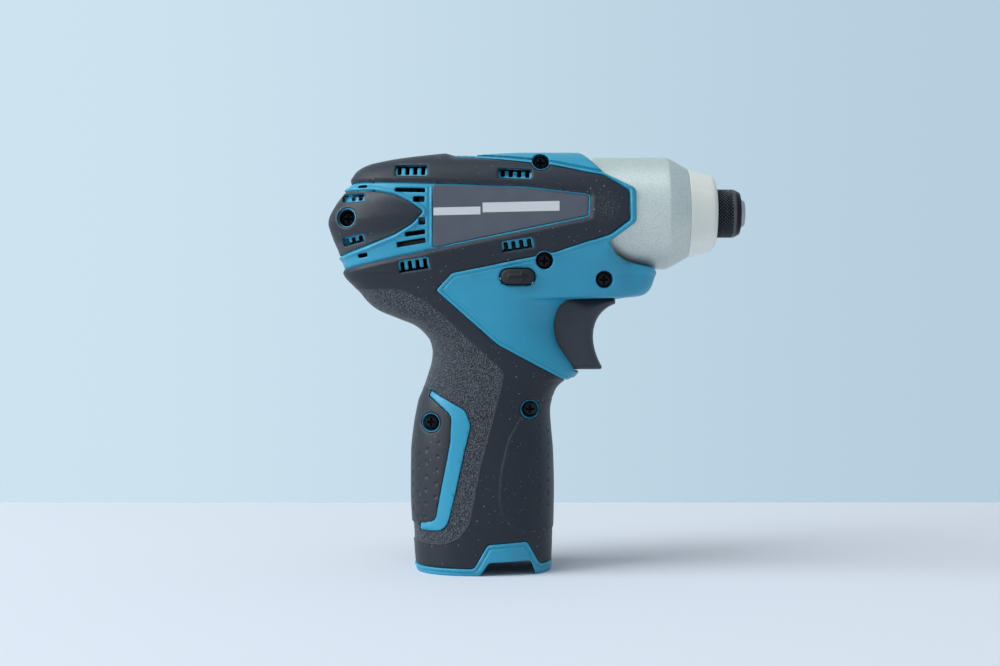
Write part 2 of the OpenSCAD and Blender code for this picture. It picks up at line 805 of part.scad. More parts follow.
module hammer_case() {
  color(case_silver)
    difference() {
      turned([
        [chamber_r, case_rear], [case_rear_r, case_rear], [case_rear_r, case_step_x],
        [case_r, case_step_x + 0.8], [case_r, case_shoulder_x],
        [case_r - 0.4, case_shoulder_x + 1.8], [case_r - 1.2, case_shoulder_x + 3.4],
        [bumper_r, bumper_back],
        [collar_r, bumper_back], [collar_r, collar_front], [bush_r + seat, collar_front],
        [bush_r + seat, case_wall_x], [chamber_r - 2.6, case_wall_x],
        [chamber_r, case_wall_x - 4.5]
      ]);
      // Small flat on top
      translate([50, -4, axis_h + case_r - 0.35])
        cube([9, 8, over]);
    }
}
module nose_bumper() {
  color(pale_clear)
    turned(concat(
      [[collar_r + seat, bumper_back + fit], [bumper_r, bumper_back + fit]],
      [
        for (k = [0 : 6])
          [
            bumper_r - 5.2 + 2.9 * cos(90 * k / 6),
            bumper_front - 2.9 + 2.9 * sin(90 * k / 6)
          ]
      ],
      [
        [sleeve_r + 0.5, bumper_front], [sleeve_r + 0.5, collar_front + 0.2],
        [collar_r + seat, collar_front + 0.2]
      ]
    ));
}
module anvil_bush() {
  color(bronze)
    ring(case_wall_x + 0.6, collar_front, bush_r, anvil_r + fit);
}
module anvil() {
  color(steel)
    difference() {
      union() {
        turned([
          [0, wing_back], [anvil_r + 2, wing_back], [anvil_r + 2, wing_front], [anvil_r, wing_front],
          [anvil_r, ring_front - clip_t], [anvil_r - 0.7, ring_front - clip_t],
          [anvil_r - 0.7, ring_front], [anvil_r - 0.3, ring_front],
          [anvil_r - 0.3, nose - 1.2], [anvil_r - 1.1, nose], [0, nose]
        ]);
        intersection() {
          rod(wing_back, wing_front, wing_r);
          translate([wing_back, -far, axis_h - wing_w / 2])
            cube([wing_t, 2 * far, wing_w]);
        }
      }
      // Pilot hole for the spindle
      rod(wing_back - over, wing_back + pilot_len + 0.6, pilot_r + fit);
      // Bit socket, a hexagon with a countersunk mouth
      on_axis(nose - hex_depth)
        cylinder(d = hex_af / cos(30), h = hex_depth + over, $fn = 6);
      turned([
        [0, nose - 0.5], [hex_af / 2 - 0.2, nose - 0.5],
        [hex_af / 2 + 0.8, nose + 0.5], [0, nose + 0.5]
      ]);
      // Hole of the locking ball
      translate([ball_x, 0, axis_h])
        cylinder(r = ball_r + fit, h = anvil_r + over);
    }
}
module thrust_washer() {
  color(white_plastic)
    ring(wing_front + fit, wing_front + fit + washer_t, wing_r - 3, anvil_r + fit);
}
module bit_ball() {
  color(steel)
    translate([ball_x, 0, axis_h + hex_af / 2 - ball_reach + ball_r])
      sphere(r = ball_r);
}
module sleeve() {
  inner = anvil_r + fit;
  front_bore = anvil_r + 1.5;
  color(near_black)
    turned([
      [inner, sleeve_back], [sleeve_r, sleeve_back], [sleeve_r, sleeve_front - 2.2],
      [sleeve_r - 1.2, sleeve_front], [front_bore, sleeve_front], [front_bore, shoulder_x],
      [inner, shoulder_x]
    ]);
}
module sleeve_spring() {
  color(steel)
    coil(shoulder_x, ring_front - clip_t - washer_t, anvil_r + 0.75, 0.22, 3);
}
module sleeve_washer() {
  color(steel)
    ring(ring_front - clip_t - washer_t, ring_front - clip_t - 0.02, anvil_r + 1.4, anvil_r + fit);
}
module sleeve_ring() {
  color(near_black)
    difference() {
      ring(ring_front - clip_t + 0.02, ring_front - 0.02, anvil_r + 1.2, anvil_r - 0.7 + fit);
      // Gap that lets the ring spring open
      translate([ring_front - clip_t - over, -1, axis_h])
        cube([clip_t + 2 * over, 2, far]);
    }
}
module hammer() {
  lug_width = 7;
  color(steel)
    difference() {
      union() {
        turned([
          [0, hammer_back], [hammer_r - 0.8, hammer_back], [hammer_r, hammer_back + 0.8],
          [hammer_r, hammer_front - 0.8], [hammer_r - 0.8, hammer_front], [0, hammer_front]
        ]);
        // Two lugs that strike the anvil's wings
        intersection() {
          ring(hammer_front - over, hammer_front + lug_h, wing_r + 1.5, anvil_r + 2.8);
          translate([hammer_front - over, -lug_width / 2, axis_h - far])
            cube([lug_h + over, lug_width, 2 * far]);
        }
      }
      rod(hammer_back - over, hammer_front + lug_h + over, spindle_r + fit);
      // Pocket of the main spring
      rod(hammer_back - over, hammer_back + spring_pocket_len, spindle_r + 0.6);
      ring(hammer_back - over, hammer_back + spring_pocket_len, 13, spindle_r + 0.3);
      // Two grooves for the cam balls
      for (side = [-1, 1])
        translate([hammer_back + spring_pocket_len - over, -cam_ball_r - slide_gap, axis_h])
          mirror([0, 0, side < 0 ? 1 : 0])
            cube([far, 2 * (cam_ball_r + slide_gap), spindle_r + 1.6]);
    }
}
module hammer_spring() {
  color(steel)
    coil(carrier_end + washer_t + 0.1, hammer_back + spring_pocket_len - 0.1, 10.2, 1.1, 4);
}
module spring_washer() {
  color(steel)
    ring(carrier_end + 0.02, carrier_end + washer_t, 12.6, spindle_r + fit);
}
module cam_balls() {
  color(steel)
    for (side = [-1, 1])
      translate([cam_ball_x, 0, axis_h + side * (spindle_r - 0.8)])
        sphere(r = cam_ball_r);
}
module spindle() {
  color(steel)
    difference() {
      union() {
        rod(case_rear - 2.4, carrier_rear + over, hub_r);
        rod(carrier_rear, carrier_rear + carrier_rear_t, carrier_r);
        rod(carrier_front, carrier_end, carrier_r);
        rod(carrier_end - over, spindle_front, spindle_r);
        rod(spindle_front - over, wing_back + pilot_len, pilot_r);
        // Two webs that join the carrier's plates
        intersection() {
          ring(carrier_rear, carrier_end, carrier_r, gear_module * pinion_teeth / 2 + 4);
          translate([0, -far, axis_h - 2.5])
            cube([far, 2 * far, 5]);
        }
      }
      // Way in for the motor pinion
      rod(case_rear - 4, carrier_front + 0.4, gear_module * pinion_teeth / 2 + addendum + slide_gap);
      for (side = [-1, 1]) {
        planet_pin_hole(side);
        translate([cam_ball_x, 0, axis_h + side * (spindle_r - 0.8)])
          sphere(r = cam_ball_r + fit);
      }
    }
}
module planet_pin_hole(side) {
  translate([carrier_rear - over, 0, axis_h + side * centre_distance])
    rotate([0, 90, 0])
      cylinder(r = pin_r + 0.02, h = carrier_end - carrier_rear + 0.4);
}
module planet_gear(side) {
  color(steel)
    translate([gear_back, 0, axis_h + side * centre_distance])
      rotate([0, 90, 0])
        difference() {
          linear_extrude(gear_w)
            polygon(gear_outline(planet_teeth, addendum, dedendum, backlash, 180 / planet_teeth));
          translate([0, 0, -over])
            cylinder(r = pin_r + fit, h = gear_w + 2 * over);
        }
}
module planet_gear_a() {
  planet_gear(1);
}
module planet_gear_b() {
  planet_gear(-1);
}
module planet_pins() {
  color(steel)
    for (side = [-1, 1])
      translate([carrier_rear, 0, axis_h + side * centre_distance])
        rotate([0, 90, 0])
          cylinder(r = pin_r, h = carrier_end - carrier_rear - 0.7);
}
module ring_gear() {
  color(steel)
    difference() {
      rod(gear_back - 0.6, gear_front + 0.1, ring_out_r);
      on_axis(gear_back - over)
        linear_extrude(gear_w + 2 * over)
          polygon(gear_outline(ring_teeth, dedendum, addendum, -backlash, 180 / ring_teeth));
    }
}
module gear_plate() {
  color(white_plastic)
    difference() {
      union() {
        rod(case_rear, case_rear + plate_t, chamber_r - seat);
        rod(front_bearing_back - 0.6, case_rear + over, plate_boss_r);
      }
      rod(spindle_bearing_back, far, spindle_bearing_r + seat);
      rod(front_bearing_back - 0.8, spindle_bearing_back + over, shaft_r + 1.6);
      rod(front_bearing_back - over, front_bearing_back + bearing_w, front_bearing_r + seat);
    }
}
// A ball bearing, drawn as its two races with a shield between
module bearing(back, outer, inner) {
  middle = (outer + inner) / 2;
  color(steel)
    difference() {
      ring(back, back + bearing_w, outer, inner);
      ring(back - over, back + 0.4, middle + 0.8, middle - 0.8);
      ring(back + bearing_w - 0.4, back + bearing_w + over, middle + 0.8, middle - 0.8);
    }
}
module spindle_bearing() {
  bearing(spindle_bearing_back + 0.1, spindle_bearing_r, hub_r + fit);
}
module motor_front_bearing() {
  bearing(front_bearing_back, front_bearing_r, shaft_r + fit);
}
module motor_rear_bearing() {
  bearing(rear_bearing_back, rear_bearing_r, shaft_r + fit);
}
module motor_yoke() {
  color(steel)
    ring(yoke_back, yoke_front, yoke_r, yoke_r - yoke_t);
}
module motor_magnets() {
  color(near_black)
    difference() {
      ring(yoke_back + 2, yoke_front - 2, yoke_r - yoke_t - seat, yoke_r - yoke_t - magnet_t);
      // Gaps between the two magnets
      translate([yoke_back, -far, axis_h - 5])
        cube([yoke_len, 2 * far, 10]);
    }
}
module armature_core() {
  slots = 10;
  color(steel)
    difference() {
      rod(core_back, core_front, core_r);
      rod(core_back - over, core_front + over, shaft_r + 0.02);
      for (i = [0 : slots - 1])
        on_axis(core_back - over)
          rotate([0, 0, 360 * i / slots])
            translate([core_r - 5, -0.9, 0])
              cube([far, 1.8, core_len + 2 * over]);
    }
}
module armature_winding() {
  color(copper)
    for (from = [core_back - winding_len, core_front])
      turned([
        [4, from + 0.05], [8.4, from + 0.05], [9.8, from + 1], [9.8, from + winding_len - 1],
        [8.4, from + winding_len - 0.05], [4, from + winding_len - 0.05]
      ]);
}
module armature_shaft() {
  tail_end = rear_bearing_back - 0.4;
  pinion_back = gear_back - 0.4;
  color(steel) {
    rod(tail_end, pinion_back + over, shaft_r);
    on_axis(pinion_back)
      linear_extrude(gear_w + 0.6)
        polygon(gear_outline(pinion_teeth, addendum, dedendum, backlash));
  }
}
module commutator() {
  bars = 10;
  color(copper)
    difference() {
      rod(commutator_back, commutator_back + commutator_len, commutator_r);
      rod(commutator_back - over, commutator_back + commutator_len + over, shaft_r + 0.02);
      for (i = [0 : bars - 1])
        on_axis(commutator_back - over)
          rotate([0, 0, 360 * i / bars])
            translate([commutator_r - 0.8, -0.25, 0])
              cube([far, 0.5, commutator_len + 2 * over]);
    }
}
module cooling_fan() {
  color(near_black)
    difference() {
      union() {
        rod(fan_back, fan_back + fan_w, shaft_r + 2);
        rod(fan_back, fan_back + 1, fan_r);
        intersection() {
          rod(fan_back, fan_back + fan_w, fan_r);
          for (i = [0 : fan_blades - 1])
            on_axis(fan_back)
              rotate([0, 0, 360 * i / fan_blades])
                translate([7, 0, 0])
                  rotate([0, 0, 28])
                    translate([0, -0.5, 0])
                      cube([fan_r, 1, fan_w]);
        }
      }
      rod(fan_back - over, fan_back + fan_w + over, shaft_r + 0.02);
    }
}
module brush_holder() {
  color(near_black)
    difference() {
      union() {
        rod(commutator_back - bell_t - 0.6, commutator_back - 0.6, yoke_r - 0.2);
        rod(cavity_back + 0.4, commutator_back - 0.6, rear_bearing_r + 2);
        // Two brush boxes on the plate
        for (side = [-1, 1])
          translate([commutator_back - over, -brush_w / 2 - 1, axis_h])
            mirror([0, 0, side < 0 ? 1 : 0])
              translate([0, 0, commutator_r + 1.2])
                cube([
                  brush_x + brush_l / 2 + 2 - commutator_back, brush_w + 2,
                  brush_box_r - commutator_r - 1.2
                ]);
      }
      rod(cavity_back, rear_bearing_back + bearing_w, rear_bearing_r + seat);
      rod(cavity_back, commutator_back, shaft_r + 1.4);
      for (side = [-1, 1])
        brush_channel(side);
    }
}
module brush_channel(side) {
  translate([brush_x - brush_l / 2 - seat, -brush_w / 2 - seat, axis_h])
    mirror([0, 0, side < 0 ? 1 : 0])
      cube([brush_l + 2 * seat, brush_w + 2 * seat, brush_tail_r]);
}
module carbon_brushes() {
  color(near_black)
    difference() {
      for (side = [-1, 1])
        translate([brush_x - brush_l / 2, -brush_w / 2, axis_h])
          mirror([0, 0, side < 0 ? 1 : 0])
            cube([brush_l, brush_w, brush_tail_r - seat]);
      rod(brush_x - far, brush_x + far, brush_tip_r);
    }
}
module switch_body() {
  color(near_black)
    difference() {
      translate([switch_back, -switch_w / 2, switch_bottom])
        cube([switch_front - switch_back, switch_w, switch_top - switch_bottom]);
      // Bore of the trigger's plunger
      translate([switch_back + 4, 0, plunger_z])
        rotate([0, 90, 0])
          cylinder(r = plunger_r + fit, h = far);
      // Pocket of the trigger's spring
      translate([switch_front - switch_pocket, 0, plunger_z])
        rotate([0, 90, 0])
          cylinder(r = trigger_coil_r + 0.4 + slide_gap, h = far);
      // Slot of the direction lever's tab
      translate([lever_x - tab_l / 2 - slide_gap, -tab_w / 2 - lever_travel - slide_gap, switch_top - 3])
        cube([tab_l + 2 * slide_gap, tab_w + 2 * lever_travel + 2 * slide_gap, far]);
    }
}
// Hollow front of the trigger, from its upper tip to its lower tip
finger_curve = [
  [48.2, trigger_top - trigger_h * 0.05], [40.4, trigger_top - trigger_h * 0.21],
  [38.2, trigger_top - trigger_h * 0.57], [43.9, trigger_top - trigger_h * 0.955]
];
module trigger() {
  front = [for (k = [0 : 10]) curve_point(finger_curve, k / 10)];
  color(soft_grey) {
    side_prism(-trigger_w / 2, trigger_w / 2)
      polygon(concat(
        [[trigger_back, trigger_bottom], [trigger_back, trigger_top]],
        [[48.4, trigger_top], [49, trigger_top - trigger_h * 0.02]],
        front,
        [[43.9, trigger_bottom + trigger_h * 0.02], [43.4, trigger_bottom]]
      ));
    translate([switch_front - plunger_reach, 0, plunger_z])
      rotate([0, 90, 0])
        cylinder(r = plunger_r, h = trigger_back - switch_front + plunger_reach + over);
  }
}
module trigger_spring() {
  color(steel)
    translate([0, 0, plunger_z - axis_h])
      coil(switch_front - switch_pocket, trigger_back, trigger_coil_r, 0.4, 5);
}
module direction_lever() {
  color(soft_grey)
    translate([lever_x, 0, lever_z]) {
      side_prism(-lever_reach, lever_reach)
        oblong(lever_len, lever_h);
      translate([-tab_l / 2, -tab_w / 2, switch_top - lever_z - 2.4])
        cube([tab_l, tab_w, lever_z - switch_top + 2.4]);
    }
}
module terminal_block() {
  color(near_black)
    difference() {
      translate([-block_x, -block_y, block_bottom])
        cube([2 * block_x, 2 * block_y, block_h]);
      for (side = [-1, 1])
        translate([side * contact_gap / 2 - 0.5, -3.1, block_bottom - over])
          cube([1, 6.2, far]);
    }
}
module battery_contacts() {
  color(bronze)
    for (side = [-1, 1])
      translate([side * contact_gap / 2 - 0.4, -3, block_bottom - contact_len])
        cube([0.8, 6, contact_len + block_h + contact_rise]);
}
// Leads from the contacts to the switch, and from the switch to the brush holder
module battery_leads() {
  color(copper)
    for (side = [-1, 1])
      swept_tube([
        [side * contact_gap / 2, 0, block_top + contact_rise + fit],
        [side * contact_gap / 2, 0, block_top + contact_rise + neck_room * 0.08],
        [side * 4 + 6, side * 4, switch_bottom - neck_room * 0.1],
        [side * 4 + 6, side * 4, switch_bottom - fit]
      ], lead_r, lead_sides);
}
module motor_leads() {
  color(copper)
    for (side = [-1, 1])
      swept_tube([
        [switch_back - fit, side * 4, switch_top - 6],
        [switch_back - 4, side * 4, switch_top - 6],
        [switch_back - 12, side * 4.6, switch_top + 2],
        [brush_x, side * 5, axis_h - yoke_r - 6],
        [brush_x, side * 3, axis_h - brush_box_r - 2.4],
        [brush_x, side * 3, axis_h - brush_box_r - fit]
      ], lead_r, lead_sides);
}

housing_right();
housing_left();
grip_right();
grip_left();
housing_screws();
name_plate_right();
name_plate_left();
led_lens();
led_board();
hammer_case();
nose_bumper();
anvil_bush();
anvil();
thrust_washer();
bit_ball();
sleeve();
sleeve_spring();
sleeve_washer();
sleeve_ring();
hammer();
hammer_spring();
spring_washer();
cam_balls();
spindle();
planet_gear_a();
planet_gear_b();
planet_pins();
ring_gear();
gear_plate();
spindle_bearing();
motor_yoke();
motor_magnets();
armature_core();
armature_winding();
armature_shaft();
commutator();
cooling_fan();
motor_front_bearing();
motor_rear_bearing();
brush_holder();
carbon_brushes();
switch_body();
trigger();
trigger_spring();
direction_lever();
terminal_block();
battery_contacts();
battery_leads();
motor_leads();
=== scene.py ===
import functools
import math
import bpy
import numpy as np
import openvdb
from mathutils import Matrix


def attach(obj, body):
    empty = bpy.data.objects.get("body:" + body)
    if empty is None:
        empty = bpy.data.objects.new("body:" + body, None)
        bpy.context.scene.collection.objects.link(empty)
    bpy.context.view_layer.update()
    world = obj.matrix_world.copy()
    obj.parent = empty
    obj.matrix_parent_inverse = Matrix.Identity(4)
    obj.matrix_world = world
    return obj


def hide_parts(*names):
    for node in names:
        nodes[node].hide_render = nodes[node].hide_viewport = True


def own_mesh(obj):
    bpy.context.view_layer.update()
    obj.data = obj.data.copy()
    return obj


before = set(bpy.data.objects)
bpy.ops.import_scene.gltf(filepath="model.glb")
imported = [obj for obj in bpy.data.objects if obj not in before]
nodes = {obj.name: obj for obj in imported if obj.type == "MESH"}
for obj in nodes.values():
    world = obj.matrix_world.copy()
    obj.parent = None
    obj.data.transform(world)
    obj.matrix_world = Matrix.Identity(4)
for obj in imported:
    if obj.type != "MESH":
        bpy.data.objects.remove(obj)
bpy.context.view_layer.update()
mm = 0.001
axisHeight = 132.0  # spindle axis above the foot, in mm
print("frame loaded,", len(nodes), "nodes")


def placed(name, data):  # a new object in the scene
    made = bpy.data.objects.new(name, data)
    bpy.context.scene.collection.objects.link(made)
    return made


# camera
view = {"place": (0.00616, -0.600, 0.0874), "lens": 57.8, "sensor": 36, "nearest": 0.01}

camera = placed("photoCamera", bpy.data.cameras.new("photoCamera"))
camera.location = view["place"]
camera.rotation_euler = (math.pi / 2, 0, 0)
camera.data.lens = view["lens"]
camera.data.sensor_width = view["sensor"]
camera.data.clip_start = view["nearest"]
bpy.context.scene.camera = camera
bpy.context.scene.view_settings.view_transform = "Standard"


# shader maths: one wrapped socket, with operators that add Math nodes
class Wire:
    def __init__(self, tree, socket=None):
        self.tree = tree
        self.socket = socket

    def node(self, kind, settings=None, inputs=None, out=0):
        made = self.tree.nodes.new(kind)
        for name, value in (settings or {}).items():
            setattr(made, name, value)
        for name, value in (inputs or {}).items():
            if isinstance(value, Wire):
                self.tree.links.new(value.socket, made.inputs[name])
            else:
                made.inputs[name].default_value = value
        return Wire(self.tree, made.outputs[out] if made.outputs else None)

    def math(self, operation, first, second):
        return self.node("ShaderNodeMath", {"operation": operation}, {0: first, 1: second})

    def vector(self, operation, *values, out=0):
        return self.node("ShaderNodeVectorMath", {"operation": operation}, dict(enumerate(values)), out)

    def __add__(self, other):
        return self.math("ADD", self, other)

    def __radd__(self, other):
        return self.math("ADD", other, self)

    def __sub__(self, other):
        return self.math("SUBTRACT", self, other)

    def __rsub__(self, other):
        return self.math("SUBTRACT", other, self)

    def __mul__(self, other):
        return self.math("MULTIPLY", self, other)

    def __rmul__(self, other):
        return self.math("MULTIPLY", other, self)

    def __lt__(self, other):
        return self.math("LESS_THAN", self, other)

    def __gt__(self, other):
        return self.math("GREATER_THAN", self, other)

    def limit(self, low, high):  # 0 below low, 1 above high, smooth between
        return self.node("ShaderNodeMapRange", {"interpolation_type": "SMOOTHSTEP"},
                         {"Value": self, "From Min": low, "From Max": high})

    def tint(self, low, high):  # colour from low to high by this value
        return self.node("ShaderNodeMix", {"data_type": "RGBA"}, {0: self, 6: low, 7: high}, out=2)

    def noise(self, scale, detail, rough=0.5):
        return self.node("ShaderNodeTexNoise", {}, {"Vector": self.place(), "Scale": scale,
                                                    "Detail": detail, "Roughness": rough})

    def cells(self, scale, feature="F1", where=None):
        return self.node("ShaderNodeTexVoronoi", {"feature": feature},
                         {"Vector": where or self.place(), "Scale": scale})

    def place(self):  # the point on the piece, in metres, as built
        return self.node("ShaderNodeTexCoord", out="Object")

    def along(self, axis):  # X, Y or Z of that point
        return self.node("ShaderNodeSeparateXYZ", {}, {0: self.place()}, axis)

    def mask(self, name):  # a value kept on the mesh's points
        return self.node("ShaderNodeAttribute", {"attribute_name": name}, out="Fac")

    def bump(self, strength, distance, height):
        return self.node("ShaderNodeBump", {}, {"Strength": strength, "Distance": distance, "Height": height})


def colour(red, green, blue):  # from screen values 0 to 255
    return tuple((c / 255 / 12.92) if c <= 10.3 else ((c / 255 + 0.055) / 1.055) ** 2.4
                 for c in (red, green, blue)) + (1.0,)


def finish(name, paint):  # a material whose principled sockets are filled by paint(wire)
    made = bpy.data.materials.new(name)
    made.use_nodes = True
    shader = made.node_tree.nodes["Principled BSDF"]
    for socket, value in paint(Wire(made.node_tree)).items():
        if isinstance(value, Wire):
            made.node_tree.links.new(value.socket, shader.inputs[socket])
        else:
            shader.inputs[socket].default_value = value
    return made


# the paint of each kind of surface
# vent is a painted shade colour, laid on the deep vent floors
bluePlastic = {"dark": colour(32, 134, 166), "base": colour(42, 155, 191), "worn": colour(96, 184, 212),
               "vent": colour(8, 20, 26)}


def paintBlue(w):
    cloud = w.noise(120, 3)
    speck = w.noise(2600, 2)
    wear = w.mask("edge").limit(0.5, 1.0) * w.noise(260, 3).limit(0.5, 0.68)
    body = (0.35 + 0.6 * cloud).tint(bluePlastic["dark"], bluePlastic["base"])
    # painted shade: deep places such as the vent floors are painted near black
    body = w.mask("deep").tint(body, bluePlastic["vent"])
    return {
        "Base Color": (wear * 0.35).tint(body, bluePlastic["worn"]),
        "Roughness": 0.36 + 0.1 * cloud + 0.06 * wear,
        "Normal": w.bump(0.1, 0.00015, speck),
        "Specular IOR Level": 0.5,
    }


# rim is a painted highlight colour for the skin's convex edges
softRubber = {"dark": colour(14, 20, 30), "base": colour(24, 32, 46), "dust": colour(156, 158, 156),
              # the two pebble colours paint shade in the gaps between the crumbs and light on their tops
              "rim": colour(104, 112, 124), "pebbleShadedGap": colour(14, 18, 24),
              "pebbleLitTop": colour(88, 97, 110),
              "stray": 0.0009, "smear": (0.0438, -0.0226, 0.133)}  # in metres


def paintRubber(w):
    cloud = w.noise(170, 3)
    fine = w.noise(3200, 2)
    pebble = w.mask("pebble")
    drift = w.node("ShaderNodeTexNoise", {}, {"Vector": w.place(), "Scale": 900.0}, out="Color")
    shift = w.vector("MULTIPLY_ADD", drift, (softRubber["stray"],) * 3, w.place())
    grain = w.cells(2150, "SMOOTH_F1", shift)
    crumb = (1 - grain).limit(0.3, 0.9)  # one leathery crumb per cell
    specks = ((1 - w.cells(340).limit(0.045, 0.085)) * w.noise(75, 3).limit(0.38, 0.55)
              + (1 - w.cells(620).limit(0.05, 0.1)) * w.noise(90, 3).limit(0.4, 0.56))
    near = w.vector("DISTANCE", w.place(), softRubber["smear"], out="Value")
    haze = w.noise(3400, 3, 0.7).limit(0.5, 0.72) * (0.25 * w.noise(420, 4, 0.7).limit(0.6, 0.8)
                                                     + 0.8 * (1 - near.limit(0.001, 0.0085)))
    # painted highlight: the convex edges of the plain skin are painted paler
    rim = w.mask("edge").limit(0.45, 1.0) * (1 - pebble)
    tone = (0.3 + 0.6 * cloud).tint(softRubber["dark"], softRubber["base"])
    # painted light and shade on the grain: the tops of the crumbs are painted paler and the gaps between them
    # darker
    shadedPebbleGrain = crumb.tint(softRubber["pebbleShadedGap"], softRubber["pebbleLitTop"])
    height = pebble * crumb + 0.1 * fine
    body = (rim * 0.2).tint(pebble.tint(tone, shadedPebbleGrain), softRubber["rim"])
    return {
        "Base Color": (specks * 0.85 + haze * 0.5).tint(body, softRubber["dust"]),
        "Roughness": 0.42 + 0.12 * cloud - 0.06 * pebble,
        "Normal": w.bump(1.0, 0.0005, height),
        "Specular IOR Level": 0.42,
    }


casePaint = {"low": colour(194, 203, 199), "high": colour(214, 221, 216), "speck": colour(158, 168, 166)}


def paintCase(w):
    cloud = w.noise(90, 3)
    grain = w.noise(2300, 2, 0.6)
    base = (0.35 + 0.5 * cloud).tint(casePaint["low"], casePaint["high"])
    return {
        "Base Color": (grain.limit(0.45, 0.7) * 0.5).tint(base, casePaint["speck"]),
        "Metallic": 0.55,
        "Roughness": 0.36 + 0.18 * grain,
        "Normal": w.bump(0.3, 0.00018, grain),
    }


def plainPaint(base, dark, rough, metal, grainSize, depth):  # a paint with no pattern of its own
    def paint(w):
        cloud = w.noise(160, 3)
        grain = w.noise(grainSize, 3, 0.6)
        return {
            "Base Color": (0.25 + 0.7 * cloud).tint(dark, base),
            "Metallic": metal,
            "Roughness": rough - 0.06 + 0.16 * grain,
            "Normal": w.bump(0.3, depth, grain),
        }
    return paint


def paintSleeve(w):  # the crests of the knurl are painted paler, a painted highlight
    arm = w.vector("MULTIPLY_ADD", w.place(), (0, 1, 1), (0, 0, -axisHeight * mm))
    crestHighlight = w.vector("LENGTH", arm, out="Value").limit(0.00865, 0.00905)
    return {
        # painted highlight on the knurl's crests
        "Base Color": (crestHighlight * (0.5 + 0.5 * w.noise(700, 2))).tint(colour(24, 25, 29), colour(96, 99, 106)),
        "Metallic": 0.7,
        "Roughness": 0.42 - 0.12 * crestHighlight,
        "Normal": w.bump(0.2, 0.00004, w.noise(1500, 3)),
    }


def paintLever(w):  # the raised arrow is the darkest part
    base = w.noise(160, 3).tint(colour(23, 26, 31), colour(31, 34, 40))
    return {
        "Base Color": w.mask("arrow").tint(base, colour(8, 8, 10)),
        "Roughness": 0.48 + 0.08 * w.noise(2400, 2),
        "Normal": w.bump(0.2, 0.00005, w.noise(2600, 2)),
        "Specular IOR Level": 0.35,
    }


def paintBumper(w):
    cloud = w.noise(110, 3)
    return {
        "Base Color": (0.2 + 0.7 * cloud).tint(colour(228, 234, 227), colour(240, 244, 237)),
        "Roughness": 0.3 + 0.12 * cloud,
        "Normal": w.bump(0.1, 0.0002, w.noise(1400, 2)),
        "Transmission Weight": 0.12,
        "Subsurface Weight": 0.25,
        "Subsurface Radius": (0.004, 0.004, 0.004),
        "IOR": 1.45,
    }


labelPrint = {"base": colour(90, 94, 106), "dark": colour(70, 74, 86), "strip": colour(208, 214, 218),
              "strips": ((-17.8, -0.9, 130.2, 133.0), (-0.1, 27.6, 130.9, 134.4)), "rise": 0.022}


def paintLabel(w):
    across, upright = w.along("X"), w.along("Z")
    level = upright - across * labelPrint["rise"]
    strips = 0
    for x0, x1, z0, z1 in labelPrint["strips"]:  # two bare pale strips
        strips = strips + (across > x0 * mm) * (across < x1 * mm) * (level > z0 * mm) * (level < z1 * mm)
    cloud = w.noise(200, 3)
    scuff = w.noise(900, 4, 0.7).limit(0.6, 0.75)
    base = (0.2 + 0.6 * cloud + 0.5 * scuff).tint(labelPrint["dark"], labelPrint["base"])
    return {
        "Base Color": (strips * (0.95 - 0.1 * scuff)).tint(base, labelPrint["strip"]),
        "Roughness": 0.34 + 0.16 * cloud,
        "Normal": w.bump(0.08, 0.0001, w.noise(2400, 2)),
    }


def paintLens(w):
    return {
        "Base Color": w.noise(300, 2).tint(colour(214, 222, 226), colour(236, 240, 242)),
        "Roughness": 0.08 + 0.08 * w.noise(900, 2),
        "Transmission Weight": 0.7,
        "IOR": 1.49,
    }


materials = {
    "blue": finish("blueHardPlastic", paintBlue),
    "rubber": finish("softGripRubber", paintRubber),
    "case": finish("silverCasePaint", paintCase),
    "bumper": finish("paleBumperRubber", paintBumper),
    "label": finish("bareLabelPlate", paintLabel),
    "lens": finish("clearLampLens", paintLens),
    "lever": finish("darkLeverPlastic", paintLever),
    "sleeve": finish("blackenedSleeveSteel", paintSleeve),
}
plainFinishes = {  # material, base, dark, roughness, metallic, grain, depth of the grain in metres
    "trigger": ("matteTriggerPlastic", (48, 54, 64), (38, 43, 52), 0.46, 0, 2600, 0.00012),
    "screw": ("blackScrewSteel", (40, 40, 44), (24, 24, 27), 0.38, 0.7, 2400, 0.00005),
    "steel": ("groundSteel", (176, 178, 180), (140, 143, 147), 0.32, 0.95, 1300, 0.00004),
    "darkSteel": ("darkSpringSteel", (86, 88, 92), (58, 60, 64), 0.36, 0.9, 1300, 0.00004),
    "bronze": ("sinteredBronze", (176, 136, 84), (138, 104, 62), 0.42, 0.9, 2000, 0.00006),
    "copper": ("woundCopper", (190, 112, 70), (150, 82, 48), 0.34, 0.9, 1700, 0.00006),
    "magnet": ("sinteredMagnet", (70, 70, 74), (50, 50, 54), 0.55, 0.3, 2600, 0.0001),
    "black": ("blackMouldedPlastic", (42, 43, 47), (30, 31, 34), 0.48, 0, 2600, 0.0001),
    "grey": ("greyMouldedPlastic", (118, 122, 126), (96, 100, 104), 0.46, 0, 2600, 0.0001),
    "white": ("whiteMouldedPlastic", (222, 222, 216), (200, 200, 194), 0.42, 0, 2600, 0.0001),
    "brass": ("contactBrass", (206, 176, 104), (172, 142, 76), 0.3, 0.95, 1500, 0.00004),
}
for key, (name, base, dark, *rest) in plainFinishes.items():
    materials[key] = finish(name, plainPaint(colour(*base), colour(*dark), *rest))
print("materials made,", len(materials))


# fields: distances in mm on a block of even cells, negative inside a piece
def blockOf(low, high, step):
    counts = [int(math.ceil((b - a) / step)) + 1 for a, b in zip(low, high)]
    x, y, z = [np.float32(a) + np.float32(step) * np.arange(n, dtype=np.float32) for a, n in zip(low, counts)]
    return x[:, None, None], y[None, :, None], z[None, None, :]


def largest(*fields):
    return functools.reduce(np.maximum, fields)


